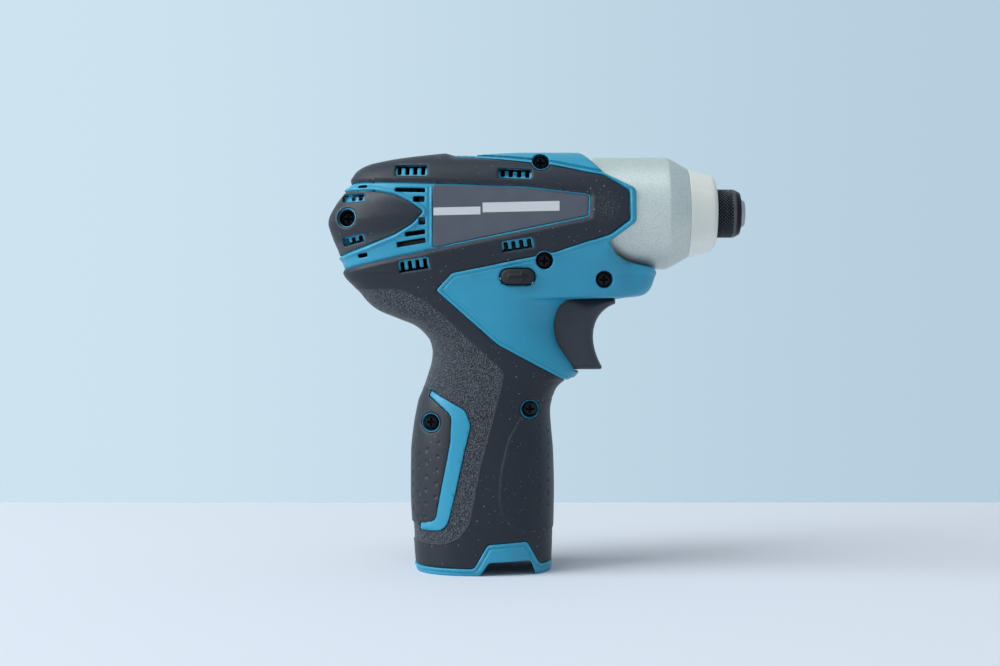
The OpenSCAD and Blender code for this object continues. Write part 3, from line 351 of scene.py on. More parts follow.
def smallest(*fields):
    return functools.reduce(np.minimum, fields)


def softMax(a, b, radius):  # the larger of two fields, with the edge between them rounded
    share = np.clip(0.5 + 0.5 * (a - b) / radius, 0, 1)
    return b + (a - b) * share + radius * share * (1 - share)


def ease(t):
    t = np.clip(t, 0, 1)
    return t * t * (3 - 2 * t)


def crest(t):  # a smooth hump, 1 at 0 and nothing beyond 1
    return np.maximum(0, 1 - np.square(t)) ** 2


def rounded(corners, steps=7):  # outline from (x, height, corner reach)
    out = []
    for i, (x, z, reach) in enumerate(corners):
        before, here, after = (np.array(corners[k % len(corners)][:2], float) for k in (i - 1, i, i + 1))
        if not reach:
            out.append(here)
            continue
        u, v = before - here, after - here
        lengthU, lengthV = np.linalg.norm(u), np.linalg.norm(v)
        half = math.acos(max(-1, min(1, float(u @ v) / lengthU / lengthV))) / 2
        start = min(reach / max(math.tan(half), 1e-6), 0.45 * lengthU, 0.45 * lengthV)
        for t in np.linspace(0, 1, steps + 1):
            out.append((1 - t) ** 2 * (here + u / lengthU * start) + 2 * t * (1 - t) * here
                       + t * t * (here + v / lengthV * start))
    return out


def outlineDistance(points, x, z):
    shape = np.broadcast_shapes(x.shape, z.shape)
    nearest = np.full(shape, 1e9, np.float32)
    inside = np.zeros(shape, bool)
    for (ax, az), (bx, bz) in zip(points, [*points[1:], points[0]]):
        ex, ez = float(bx - ax), float(bz - az)
        square = ex * ex + ez * ez
        if square < 1e-9:
            continue
        px, pz = x - np.float32(ax), z - np.float32(az)
        t = np.clip((px * ex + pz * ez) / square, 0, 1).astype(np.float32)
        nearest = np.minimum(nearest, (px - ex * t) ** 2 + (pz - ez * t) ** 2)
        if ez:
            inside ^= ((az > z) != (bz > z)) & (px < ex * pz / ez)
    return np.where(inside, -1, 1).astype(np.float32) * np.sqrt(nearest)


def slotDistance(x, z, place, length, height, tilt, corner):
    turn = math.radians(tilt)
    dx, dz = x - place[0], z - place[1]
    along = np.abs(dx * math.cos(turn) + dz * math.sin(turn)) - (length / 2 - corner)
    over = np.abs(dz * math.cos(turn) - dx * math.sin(turn)) - (height / 2 - corner)
    outside = np.sqrt(np.maximum(along, 0) ** 2 + np.maximum(over, 0) ** 2)
    return outside + np.minimum(np.maximum(along, over), 0) - corner


def smoothRows(heights, values, z):  # even curve through the rows, with no overshoot
    h = np.diff(heights)
    slope = np.diff(values) / h
    tangent = np.zeros(len(values))
    for i in range(1, len(values) - 1):
        if slope[i - 1] * slope[i] > 0:
            w1, w2 = 2 * h[i] + h[i - 1], h[i] + 2 * h[i - 1]
            tangent[i] = (w1 + w2) / (w1 / slope[i - 1] + w2 / slope[i])
    tangent[0], tangent[-1] = slope[0], slope[-1]
    i = np.clip(np.searchsorted(heights, z) - 1, 0, len(h) - 1)
    t = np.clip((z - heights[i]) / h[i], 0, 1)
    return ((1 + 2 * t) * (1 - t) ** 2 * values[i] + t * (1 - t) ** 2 * h[i] * tangent[i]
            + t * t * (3 - 2 * t) * values[i + 1] + t * t * (t - 1) * h[i] * tangent[i + 1])


def sampleAt(field, spots):  # values of a field at points given in cells
    top = np.array(field.shape) - 1
    base = np.clip(np.floor(spots).astype(int), 0, top - 1)
    part = np.clip(spots - base, 0, 1)
    out = np.zeros(len(spots), np.float32)
    for corner in range(8):
        bits = np.array([(corner >> k) & 1 for k in range(3)])
        share = np.prod(np.where(bits, part, 1 - part), axis=1)
        at = base + bits
        out += share * field[at[:, 0], at[:, 1], at[:, 2]]
    return out


def meshFrom(name, field, low, step, merge, mirror=False, masks=None):  # the surface where the field is 0
    band = 3 * step
    field = np.clip(field, -band, band).astype(np.float32)
    for axis in range(3):  # closed at the block's own faces
        turned = np.moveaxis(field, axis, 0)
        turned[[0, -1]] = np.maximum(turned[[0, -1]], 0.5 * step)
    grid = openvdb.FloatGrid(band)
    grid.copyFromArray(np.ascontiguousarray(field))
    spots, triangles, quads = grid.convertToPolygons(isovalue=0.0, adaptivity=merge)
    slopes = np.stack([sampleAt(g, spots) for g in np.gradient(field)], axis=1)
    slopes /= np.maximum(np.linalg.norm(slopes, axis=1, keepdims=True), 1e-9)
    lap = -6 * field
    for axis in range(3):
        lap += np.roll(field, 2, axis) + np.roll(field, -2, axis)
    bend = np.clip(sampleAt(lap, spots) / (2.2 * step), -1, 1)
    points = np.array(low) + spots * step
    faces = [np.asarray(f) for f in (quads, triangles) if len(f)]
    if mirror:
        points[:, 1] *= -1
        slopes[:, 1] *= -1
        faces = [f[:, ::-1] for f in faces]
    mesh = bpy.data.meshes.new(name)
    mesh.vertices.add(len(points))
    mesh.vertices.foreach_set("co", (points * mm).astype(np.float32).ravel())
    sizes = np.concatenate([np.full(len(f), f.shape[1]) for f in faces])
    mesh.loops.add(int(sizes.sum()))
    mesh.loops.foreach_set("vertex_index", np.concatenate([f.ravel() for f in faces]).astype(np.int32))
    mesh.polygons.add(len(sizes))
    mesh.polygons.foreach_set("loop_start", np.concatenate([[0], np.cumsum(sizes)[:-1]]).astype(np.int32))
    mesh.update(calc_edges=True)
    mesh.validate()
    mesh.shade_smooth()
    mesh.normals_split_custom_set_from_vertices(slopes.tolist())
    found = {"edge": np.maximum(bend, 0)}
    found.update({key: sampleAt(mask, spots) for key, mask in (masks or {}).items()})
    for key, values in found.items():
        mesh.attributes.new(key, "FLOAT", "POINT").data.foreach_set("value", values.astype(np.float32))
    print(name, len(points), "points", len(sizes), "faces")
    return placed(name, mesh)


def formPiece(name, field, form, mirror=False, masks=None):
    return meshFrom(name, field, form["block"][0], form["step"], form["merge"], mirror, masks)


def dress(piece, body, slot, finishName, *replaced):  # replaced: the solids it stands for
    piece.data.materials.clear()
    piece.data.materials.append(materials[finishName])
    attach(piece, body)
    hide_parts(*replaced)


# the two shells and their soft skins, worked out on the right and mirrored
shell = {
    "step": 0.31,
    "merge": {"hard": 0.062, "skin": 0.035},
    "block": ((-60.0, -26.4, -1.2), (66.4, 1.6, 156.4)),
    "squareGrip": 2.5,
    "squareHead": 2.6,
    "headFrom": 109,  # height where the head's section starts
    "rise": 22.4,  # from the axis to the top
    "skin": 1.4,
    "wall": 3.4,
    "seam": 0.005,
    "rows": [  # height, back, front, half width, middle
        (0, -24.7, 24.9, 23.5, 0), (2.2, -25.5, 25.5, 24.3, 0), (14, -26.3, 26, 24.3, 0),
        (30, -27.1, 26.3, 23.9, 0), (43, -27, 26, 23.4, 0), (54, -25.9, 25.1, 22.7, 0),
        (59, -25, 24.8, 22.3, 0), (63, -24.1, 25.6, 21.9, 0), (66.5, -22.6, 26.9, 21.6, 1),
        (69.5, -21.8, 29.8, 21.3, 1),
        (71.2, -21.2, 34.3, 21.1, 2), (73.4, -20.5, 35.8, 20.9, 2), (76, -19.7, 34.5, 20.7, 2),
        (80, -19.2, 31.7, 20.5, 2), (84, -19.9, 29.1, 20.4, 2), (87.5, -22.5, 28.1, 20.4, 1),
        (90, -25.6, 27.9, 20.4, 0), (92.6, -31.9, 28.2, 20.5, 0), (95.6, -39.1, 29.3, 20.6, 0),
        (97.3, -41.6, 30.6, 20.7, 0), (98.7, -43.2, 33.6, 20.8, 0), (99.5, -43.9, 39.5, 20.8, 0),
        (100.2, -44.5, 55.5, 20.8, 0), (102, -45.9, 60.7, 20.9, 0), (105, -48.6, 63.1, 21.1, 0),
        (108, -51.5, 64.1, 21.5, 0), (110.5, -52.7, 67.5, 21.6, -2), (113, -53.5, 81.5, 22, -4),
        (117, -54.8, 115.5, 22.5, -5), (122, -56.5, 150, 22.85, -5), (129, -57.9, 150, 23, -5),
        (135, -55.7, 150, 23, -5), (140.6, -51.9, 150, 23, -5), (144, -49.5, 150, 23, -5),
        (147, -47.5, 150, 23, -5), (149.4, -43.7, 150, 23, -5), (151.4, -35.4, 150, 23, -5),
        (153, -23.9, 150, 23, -5), (153.9, -15.9, 150, 23, -5), (154.4, -7.9, 150, 23, -5)],
    "vents": [  # x, height above the axis, length, height, tilt, count of slots
        (-26, 14.3, 11.6, 3.9, -1, 4), (11.6, 13, 12, 3.4, -2.4, 4), (-25, -19.9, 11.2, 4.2, 8.5, 4),
        (12.5, -12.7, 11.4, 3.8, 9, 4), (-47.4, 4.7, 8.4, 2.7, 0, 3), (-47.2, -10.6, 8.2, 2.8, 12, 3)],
    "slotShare": 0.42,
    "slotDepth": {"right": 7, "left": 3.1},  # no view right through both sides
    "slotEnd": 9,
    "grille": [  # from x, to x, height above the axis, tilt, height
        (-31.8, -20.8, 7.1, -1.5, 1.6), (-25.2, -21, 3.7, 0, 2.2), (-23.2, -20.8, -4.2, 0, 2.6),
        (-28.2, -20.8, -8.5, 8, 1.7), (-31.2, -20.6, -11.9, 9, 1.9), (-45.6, -42.2, 8.8, 0, 1.1),
        (-45.6, -42, -16.3, 8, 1.5)],
    "screws": [  # x, height, head's face from the middle plane
        (-49.8, 129.5, 6), (21, 149.8, 9), (22.2, 113.6, 17.4), (44.1, 106.9, 13), (-18.9, 54.9, 13.5),
        (17, 59.8, 15.5)],
    "screwThick": 1.8,
    "screwHole": 1.6,
    "blindHole": (1.55, 8.3),  # radius and depth in the left shell
    "pillar": 3.3,
    "skinHole": 3.5,
    "recess": 3.15,
    "labelPlane": 20.8,
    "hollowEnd": (23.6, 116),  # front and top
    "ribs": [  # x, from height, to height, inner face
        (-4.4, 74, 97, 9.1), (12.6, 74, 97, 9.1), (-10, 50.5, 59.5, 11.1), (8, 50.5, 59.5, 11.1)],
    "bores": [(17.9, -39.9, 26.2), (19.5, 25.8, 41), (20.9, 39.6, 150)],  # radius, from x, to x
    "lever": (12.5, 107.7, 13.0, 6.2),  # x, height, length and height of its opening
    "finger": (17.6, 8.8, 87.15, 13.55),  # back, half width, middle, half height
    "lamp": (105.6, 2.5, 57.1),  # height, radius, back
    "board": (56.45, 0.95, 3.6),  # x, half thickness, half width
}
headOutlines = {  # x, height above the axis, corner reach
    "limit": [(-150, 150, 0), (34.4, 150, 0), (34.4, 23.4, 0), (44.2, 13.2, 2), (55.4, 7.7, 3),
              (55.6, -4.4, 3), (45.6, -11.7, 0.5), (48.3, -16, 3), (56, -19.2, 6), (62.6, -20.6, 0.5),
              (64.3, -22.3, 1.2), (64.3, -150, 0), (-150, -150, 0)],
    "soft": [(-150, 150, 0), (-10, 150, 0), (-10, 20.4, 1), (25, 16.4, 8), (44.2, 12.2, 10), (52.7, 6.8, 0.8),
             (52.9, -3.6, 0.8), (46, -8.8, 6), (26.2, -15.4, 0.4), (-11.2, -23, 2), (-17, -29.2, 1),
             (5.5, -49, 12), (28, -61, 0.4), (40, -65.5, 0), (150, -70, 0), (150, -150, 0), (-150, -150, 0)],
    "window": [(-150, 10.4, 0), (-47, 10.3, 0.5), (15, 7.9, 40), (38.4, 5.3, 1), (38.2, -2.4, 1),
               (-8.3, -12, 40), (-50, -20.6, 0.5), (-150, -24, 0)],
    "tailPad": [(-150, 8, 0), (-49.8, 7.5, 6), (-39.4, 7.2, 12), (-32, 5.6, 12), (-26.4, 2.8, 12),
                (-21.8, -0.7, 0.6), (-25.4, -5, 12), (-32.2, -9.1, 20), (-42.5, -13.1, 20), (-51.3, -16, 4),
                (-150, -30, 0)],
    "label": [(-18.3, 9.1, 1.2), (15, 7.85, 40), (38.3, 5.2, 1), (38.1, -2.3, 1), (-8.3, -11.9, 40),
              (-18.3, -14, 1.2)],
}
gripOutlines = {  # x, height above the foot, corner reach
    "stripe": [(-18.8, 66.4, 0.3), (-6.4, 59.4, 3), (-4.4, 54, 4), (-6.7, 44.4, 20), (-10.6, 26.5, 10),
               (-13.4, 15.9, 6), (-22.8, 15.8, 0.4), (-22.8, 18.4, 0.4), (-17.2, 19.6, 3), (-15.6, 28.5, 8),
               (-11.9, 47.5, 8), (-11.4, 57.6, 4), (-19.6, 64.6, 0.3)],
    "foot": [(-150, 3.2, 0), (-3.2, 2.6, 2), (1.8, 11.2, 2), (16, 12.2, 2), (20.6, 3.6, 2), (150, 3.4, 0),
             (150, -150, 0), (-150, -150, 0)],
    "notch": [(-1, -150, 0), (-1, 0.2, 1), (2.2, 4.8, 2), (17.2, 5.4, 2), (18.8, 1, 1), (18.8, -150, 0)],
    "pebbles": [(-60, 104, 0), (-29.9, 103.3, 1), (-22.3, 100.1, 3), (-14.7, 94.1, 3), (-4.7, 84.9, 3),
                (5.5, 75.3, 2), (7.5, 72.8, 1.5), (6.5, 67.3, 4), (-1.4, 38.1, 10), (-3.5, 26.5, 6),
                (-5, 19.1, 4), (-8.7, 13.8, 3), (-13.5, 11.7, 3), (-24.6, 11.1, 1), (-60, 11, 0)],
    "rearPad": [(-60, 68, 0), (-21.8, 67.6, 0.5), (-19, 65.4, 0), (-11.4, 57.6, 4), (-11.9, 47.5, 8),
                (-15.6, 28.5, 8), (-17.2, 19.6, 3), (-22.8, 18, 0.4), (-60, 17.6, 0)],
    "frontPad": [(60, 63.9, 0), (24.5, 63.3, 1), (20.4, 62.4, 3), (14, 57.1, 4), (9.3, 48.7, 5),
                 (6.6, 37, 6), (6.1, 27.6, 4), (7.1, 21.7, 3), (10.3, 17.5, 3), (16.6, 15.4, 3),
                 (25.1, 15.9, 1), (60, 16, 0)],
}
dimples = {"radius": 0.65, "depth": 0.42, "rows": [  # x, top height, count, gap, lean
    (-15.9, 47.7, 5, 4.85, -0.06), (-20.1, 45.2, 6, 4.9, -0.03), (-23.3, 43, 6, 4.5, -0.01),
    (-25.3, 45.4, 6, 4.5, 0), (8.2, 37.5, 4, 4.5, 0), (12.1, 49, 7, 4.53, 0.01), (16, 51.5, 8, 4.5, 0),
    (20.1, 54, 8, 4.5, 0), (23.5, 51.6, 7, 4.5, 0)]}
relief = {  # depths, on the hard surface and then on the skin
    "window": 1.1, "tailRim": 0.8, "labelGroove": 0.45, "panelEdge": 0.5, "panel": 0.22, "byTrigger": 0.6,
    "topEdge": 1.0, "top": 1.1, "tongueEdge": 0.7, "tongue": 0.5, "footGroove": 0.5, "stripe": 0.35,
    "vent": 1.7, "tail": (0.05, 0.9), "bevel": 1.25, "hump": 1.1, "grip": 0.35, "pebbles": 0.25,
    "padGroove": 0.25, "pebbleRidge": 0.16,
}


def bodyDistance(x, y, z):  # the whole outer form, from squarish sections
    table = np.array(shell["rows"], float)
    flat = z.ravel().astype(float)
    back, front, half, middle = [smoothRows(table[:, 0], table[:, k], flat)[None, None, :].astype(np.float32)
                                 for k in range(1, 5)]
    square = np.where(flat > shell["headFrom"], shell["squareHead"], shell["squareGrip"])
    square = square[None, None, :].astype(np.float32)
    reach = np.where(x > middle, front - middle, middle - back)
    lift = np.clip((z - axisHeight) / shell["rise"], 0, 2) ** square
    inLine = (np.abs(x - middle) / reach) ** square * np.maximum(1 - lift, 0.02)
    size = (inLine + (np.abs(y) / half) ** square + lift) ** (1 / square)
    slopes = np.gradient(size, shell["step"])
    steep = np.sqrt(sum(np.square(s) for s in slopes))
    below = -z  # the foot is flat
    return np.maximum((size - 1) / np.maximum(steep, 0.004), below).astype(np.float32)


def sideAreas(x, z):  # distances to the outlines drawn on the side
    areas = {}
    for key, corners in headOutlines.items():
        areas[key] = outlineDistance(rounded(corners), x, z - axisHeight)
    for key, corners in gripOutlines.items():
        areas[key] = outlineDistance(rounded(corners), x, z)
    return areas


def ventCuts(x, z):  # the sunk vents, and the slots in them and in the grille
    vents, slots = [], []
    for vx, vh, length, height, tilt, count in shell["vents"]:
        vz, lean = axisHeight + vh, math.radians(tilt)
        vents.append(slotDistance(x, z, (vx, vz), length, height, tilt, 0.6))
        pitch = length / count
        for i in range(count):
            shift = (i + 0.5) * pitch - length / 2
            spot = (vx + shift * math.cos(lean), vz + shift * math.sin(lean))
            slots.append(slotDistance(x, z, spot, pitch * shell["slotShare"] + 0.2, height - 0.8, tilt, 0.3))
        rim = vz + np.sign(vh) * (height / 2 - 0.4)  # open strip along the outer edge
        slots.append(slotDistance(x, z, (vx, rim), length - 0.4, 0.7, tilt, 0.2))
    for x0, x1, h, tilt, height in shell["grille"]:
        slots.append(slotDistance(x, z, ((x0 + x1) / 2, axisHeight + h), x1 - x0, height, tilt, 0.4))
    return smallest(*vents), smallest(*slots)


def hardRelief(x, z, areas, soft, vents):  # how far the bare hard surface is sunk
    up = z - axisHeight
    window, pad, foot, stripe = (areas[key] for key in ("window", "tailPad", "foot", "stripe"))
    inWindow = window < 0.4  # reaches under the skin's edge
    byLabel = (np.abs(up + 1) < 11) * (window < -0.8)
    inPanel = ease((x + 16) / 2) * ease((-9 - up) / 3) * ease((z - 66) / 4)
    byTrigger = crest(np.sqrt(((x - 36) / 24) ** 2 + ((up + 27) / 13) ** 2))
    onTop = ease((x + 11) / 1.5) * ease((up - 9) / 3) * ease((46 - x) / 4)
    onTongue = ease((x - 38) / 3) * ease((up + 14) / 3) * ease((15 - up) / 3)
    sunk = relief["window"] * inWindow - relief["tailRim"] * crest((pad - 0.85) / 1.0) * inWindow
    sunk += relief["labelGroove"] * crest((x + 19.4) / 0.5) * byLabel
    sunk += inPanel * (relief["panelEdge"] * crest((soft - 1.5) / 0.42)
                       + relief["panel"] * ease((soft - 1.6) / 1.2))
    sunk += relief["byTrigger"] * inPanel * byTrigger
    sunk += onTop * (relief["topEdge"] * crest((soft - 1.4) / 0.6)
                     + relief["top"] * (1 - ease((x + 10.4) / 26)))
    sunk += onTongue * (relief["tongueEdge"] * crest((soft - 0.25) / 0.45)
                        + relief["tongue"] * ease((soft - 0.9) / 2))
    sunk += relief["footGroove"] * crest((foot + 1.35) / 0.4) * (foot < 0) * (z > 0.8)
    sunk += relief["stripe"] * (stripe < 0.5) + relief["vent"] * (vents < 0.15)
    return sunk.astype(np.float32)


def skinRelief(x, z, areas):  # how far the skin is sunk, and where it is pebbled
    up = z - axisHeight
    window, pebbles, frontPad = areas["window"], areas["pebbles"], areas["frontPad"]
    crease = -1.2 + (x + 21.8) * 0.09  # the line along the tail pad
    tail = relief["tail"][0] + relief["tail"][1] * np.clip(np.abs(up - crease) / 9.5, 0, 1)
    bevel = relief["bevel"] * np.clip(1 - window / 1.75, 0, 1) * (window > 0)
    hump = relief["hump"] * ease((x + 14.4) / 4.2) * ease((up - 17.5) / 3.5)
    sunk = np.where(areas["tailPad"] < 0.4, tail, bevel + hump)
    offRear, offFront = ease(areas["rearPad"] / 0.35), ease(frontPad / 0.35)
    pebbled = ease(-pebbles / 0.35) * offRear * ease((106 - z) / 3)
    sunk += relief["grip"] * ease((63 - z) / 8) * offRear * offFront + relief["pebbles"] * pebbled
    sunk += relief["padGroove"] * crest(frontPad / 0.4) * ease((z - 57) / 4)
    sunk -= relief["pebbleRidge"] * crest((pebbles - 0.15) / 0.45) * offRear * ease((76 - z) / 4)
    for px, pz, count, gap, lean in dimples["rows"]:
        for i in range(count):
            dx, dz = px + lean * i * gap, pz - i * gap
            away = np.sqrt((x - dx) ** 2 + (z - dz) ** 2)
            sunk += dimples["depth"] * crest(away / dimples["radius"])
    return sunk.astype(np.float32), pebbled


def openings(x, y, z, body, nearPin, notch):  # the hollow, the passages and the trigger's room
    front, top = shell["hollowEnd"]
    hollow = largest(body + shell["wall"], x - front, z - top, shell["pillar"] - nearPin)
    for ribX, ribLow, ribHigh, ribY in shell["ribs"]:
        rib = largest(np.abs(x - ribX - 1) - 1, ribLow - z, z - ribHigh, y + ribY)
        hollow = np.maximum(hollow, -rib)
    radius = np.sqrt(y ** 2 + (z - axisHeight) ** 2)
    bores = [largest(radius - wide, start - x, x - end) for wide, start, end in shell["bores"]]
    leverX, leverZ, leverLong, leverHigh = shell["lever"]
    lampZ, lampRadius, lampBack = shell["lamp"]
    boardX, boardThick, boardHalf = shell["board"]
    passages = smallest(
        slotDistance(x, z, (leverX, leverZ), leverLong, leverHigh, 0, leverHigh / 2),
        np.maximum(np.sqrt(y ** 2 + (z - lampZ) ** 2) - lampRadius, lampBack - x),
        largest(np.abs(x - boardX) - boardThick, np.abs(y) - boardHalf, np.abs(z - lampZ) - boardHalf),
        notch, *bores)
    fingerBack, fingerHalf, fingerZ, fingerTall = shell["finger"]
    fingerSlot = largest(fingerBack - x, np.abs(y) - fingerHalf, np.abs(z - fingerZ) - fingerTall)
    return hollow, passages, fingerSlot


def shellFields():
    low, high = shell["block"]
    x, y, z = blockOf(low, high, shell["step"])
    up, seam = z - axisHeight, y + shell["seam"]
    body = bodyDistance(x, y, z)
    print("body field", body.shape)
    areas = sideAreas(x, z)
    vents, slots = ventCuts(x, z)
    pins = [np.sqrt((x - sx) ** 2 + (z - sz) ** 2) for sx, sz, depth in shell["screws"]]
    nearPin = smallest(*pins)

    # where the skin lies, without and with the openings round the screws
    softPlain = np.minimum(np.maximum(areas["soft"], -areas["window"]), areas["tailPad"])
    softPlain = largest(softPlain, -areas["foot"], -areas["stripe"], -vents)
    softRight = np.maximum(softPlain, shell["skinHole"] - nearPin)

    hardSunk = hardRelief(x, z, areas, softPlain, vents)
    skinSunk, pebbled = skinRelief(x, z, areas)
    hollow, passages, fingerSlot = openings(x, y, z, body, nearPin, areas["notch"])
    inner = smallest(hollow, passages, fingerSlot)
    cheek = 30 - 17 * ease((x - 36) / 20) * ease((-8 - up) / 8)  # narrower towards the lamp
    labelCut = np.maximum(areas["label"], y + shell["labelPlane"])
    made = {}
    for side, soft in (("right", softRight), ("left", softPlain)):
        slotCut = largest(slots, -shell["slotDepth"][side] - body, y + shell["slotEnd"])
        bed = np.maximum(soft - 0.03, -(body + shell["skin"] + 0.05))  # the skin's place, with a little room
        hard = softMax(body + hardSunk, np.abs(y) - cheek, 3.0)  # last, how far the edge is rounded
        hard = softMax(hard, areas["limit"], 1.0)
        hard = softMax(hard, -bed, 0.3)
        hard = softMax(hard, -passages, 0.5)
        hard = softMax(hard, -fingerSlot, 1.2)
        hard = softMax(hard, seam, 0.3)
        hard = largest(hard, -inner, -slotCut, -labelCut)
        for pin, (sx, sz, depth) in zip(pins, shell["screws"]):
            if side == "right":
                hard = softMax(hard, -np.maximum(pin - shell["recess"], y + depth - shell["screwThick"]), 0.3)
                hard = np.maximum(hard, shell["screwHole"] - pin)
            else:
                wide, deep = shell["blindHole"]
                hard = np.maximum(hard, -np.maximum(pin - wide, -deep - y))
        skin = softMax(body + skinSunk, soft + 0.05, 0.8)
        skin = softMax(skin, 0.1 - np.minimum(passages, fingerSlot), 0.4)
        skin = softMax(skin, seam, 0.3)
        skin = np.maximum(skin, -(body + shell["skin"]))
        made[side] = (hard, skin)
        print(side, "shell fields")
    masks = {"pebble": np.zeros(body.shape, np.float32) + pebbled.astype(np.float32),
             "deep": ease((-body - 2.6) / 1.6) * (z > 108)}  # painted shade: the floors of the vents, darker the deeper they lie
    return low, made, masks


low, shells, shellMasks = shellFields()
for side, mirrored in (("right", False), ("left", True)):
    hardField, skinField = shells[side]
    step, merge = shell["step"], shell["merge"]
    hardPiece = meshFrom("hardShell_" + side, hardField, low, step, merge["hard"], mirrored, shellMasks)
    dress(hardPiece, "housing", "hard_shell", "blue", "housing_" + side)
    skinPiece = meshFrom("softSkin_" + side, skinField, low, step, merge["skin"], mirrored, shellMasks)
    dress(skinPiece, "housing", "soft_skin", "rubber", "grip_" + side)
del shells, shellMasks
print("shells and skins made")


# turned pieces, from (x, radius, corner reach) round the spindle axis
def finePath(corners, longest):  # rounded profile with no long spans
    points = rounded(corners, 5)
    out = []
    for a, b in zip(points, [*points[1:], points[0]]):
        count = max(1, int(math.ceil(np.linalg.norm(b - a) / longest)))
        out.extend(a + (b - a) * k / count for k in range(count))
    return out


def turnedPiece(name, turning, shape=None):
    rings = np.array(finePath(turning["profile"], turning["span"]), float)
    around = turning["around"]
    angles = np.linspace(0, 2 * math.pi, around, endpoint=False)
    across, turn = np.meshgrid(np.arange(len(rings)), angles, indexing="ij")
    xs, rs = rings[across, 0], rings[across, 1]
    if shape is not None:
        xs, rs = shape(xs, rs, turn)
    points = np.stack([xs, rs * np.sin(turn), axisHeight + rs * np.cos(turn)], axis=-1).reshape(-1, 3) * mm
    faces = []
    for i in range(len(rings)):
        j = (i + 1) % len(rings)
        for k in range(around):
            n = (k + 1) % around
            faces.append((i * around + k, i * around + n, j * around + n, j * around + k))
    mesh = bpy.data.meshes.new(name)
    mesh.from_pydata(points.tolist(), [], faces)
    mesh.update()
    mesh.shade_smooth()
    mesh.set_sharp_from_angle(angle=math.radians(32))
    print(name, len(faces), "faces")
    return placed(name, mesh)


caseTurning = {
    "profile": [(25.9, 18.1, 0), (25.9, 19.4, 0.4), (39.9, 19.4, 0.2), (40.7, 20.8, 0.6), (68.0, 20.8, 2.0),
                (70.6, 19.5, 0.5), (75.7, 16.6, 0.3), (75.7, 10.5, 0), (82.0, 10.5, 0.3), (82.0, 8.2, 0),
                (68.6, 8.2, 0), (68.6, 15.5, 1.5), (64.1, 18.1, 1)],
    "span": 1.3, "around": 144,  # longest step along the profile, steps round it
    "flat": (49.8, 58.9, 20.42),  # from x, to x, height
}


def caseFlat(xs, rs, turn):  # the small flat on top
    start, end, height = caseTurning["flat"]
    near = (xs > start) & (xs < end) & (rs > 20) & (np.abs(np.sin(turn)) < 0.22) & (np.cos(turn) > 0)
    return xs, np.where(near, np.minimum(rs, height / np.maximum(np.cos(turn), 0.2)), rs)


case = turnedPiece("hammerCase", caseTurning, caseFlat)
dress(case, "housing", "silver_paint", "case", "hammer_case")

bumperTurning = {
    "profile": [(75.75, 10.6, 0), (75.75, 16.6, 0.3), (84.8, 14.2, 1.8), (86.2, 12.0, 1.4), (86.2, 9.5, 0.4),
                (82.2, 9.5, 0), (82.2, 10.6, 0)],
    "span": 0.9, "around": 128,
}
bumper = turnedPiece("noseBumper", bumperTurning)
dress(bumper, "housing", "pale_rubber", "bumper", "nose_bumper")

sleeveTurning = {
    "profile": [(82.6, 5.75, 0), (82.6, 8.6, 0), (83.0, 9.0, 0.2), (93.2, 9.0, 0.3), (95.4, 7.8, 0.4),
                (95.4, 7.2, 0), (87.2, 7.2, 0), (87.2, 5.75, 0)],
    "span": 0.2, "around": 264,  # six steps to a diamond
    "knurl": (83.6, 92.4), "radius": 9, "diamonds": 44, "depth": 0.5,
}


def sleeveKnurl(xs, rs, turn):
    start, end = sleeveTurning["knurl"]
    count = sleeveTurning["diamonds"]
    turns = turn / (2 * math.pi) * count
    pitch = 2 * math.pi * sleeveTurning["radius"] / count
    leftHand = np.abs((turns + xs / pitch) % 1 - 0.5) * 2
    rightHand = np.abs((turns - xs / pitch) % 1 - 0.5) * 2
    groove = 1 - np.minimum(1, 1.9 * np.minimum(leftHand, rightHand))
    inside = ease((xs - start) / 0.3) * ease((end - xs) / 0.3) * (rs > sleeveTurning["radius"] - 0.1)
    return xs, rs - sleeveTurning["depth"] * groove * inside


sleevePiece = turnedPiece("bitSleeve", sleeveTurning, sleeveKnurl)
dress(sleevePiece, "sleeve", "black_steel", "sleeve", "sleeve")


# trigger: curved front, all edges rounded, with its plunger
triggerForm = {
    "step": 0.3, "merge": 0.04,
    "block": ((8.8, -9.4, 73.0), (50.2, 9.4, 101.4)),
    "half": 8.5, "bottom": 73.9, "top": 100.4, "back": 24.4,
    "tip": (49.0, 2.2),  # x and thickness
    "finger": [(48.3, 0.09), (40.4, 0.21), (38.2, 0.57), (43.9, 0.955)],  # x, share of the height
    "edge": (0.8, 5.2),  # rounding at the back and at the front
    "plunger": (9.6, 25.4, 86, 2.0),  # from x, to x, height, radius
}


def fingerCurve():  # the front, as one smooth span
    top, tall = triggerForm["top"], triggerForm["top"] - triggerForm["bottom"]
    p = np.array([(px, top - tall * share) for px, share in triggerForm["finger"]])
    return [p[0] * (1 - t) ** 3 + 3 * p[1] * t * (1 - t) ** 2 + 3 * p[2] * t * t * (1 - t) + p[3] * t ** 3
            for t in np.linspace(0, 1, 22)]


def triggerField():
    x, y, z = blockOf(*triggerForm["block"], triggerForm["step"])
    bottom, top, back = (triggerForm[key] for key in ("bottom", "top", "back"))
    tipX, tipThick = triggerForm["tip"]
    corners = [(back, bottom, 0.6), (back, top, 0.6), (tipX, top, 1.1), (tipX, top - tipThick, 0.8)]
    corners += [(px, pz, 0) for px, pz in fingerCurve()]
    corners += [(44.0, bottom + 0.8, 0.5), (43.7, bottom, 0.7)]
    backEdge, frontEdge = triggerForm["edge"]
    edge = backEdge + (frontEdge - backEdge) * ease((x - 30) / 8)
    finger = softMax(outlineDistance(rounded(corners), x, z), np.abs(y) - triggerForm["half"], edge)
    x0, x1, height, radius = triggerForm["plunger"]
    plunger = largest(np.sqrt(y ** 2 + (z - height) ** 2) - radius, x0 - x, x - x1)
    return np.minimum(finger, plunger)


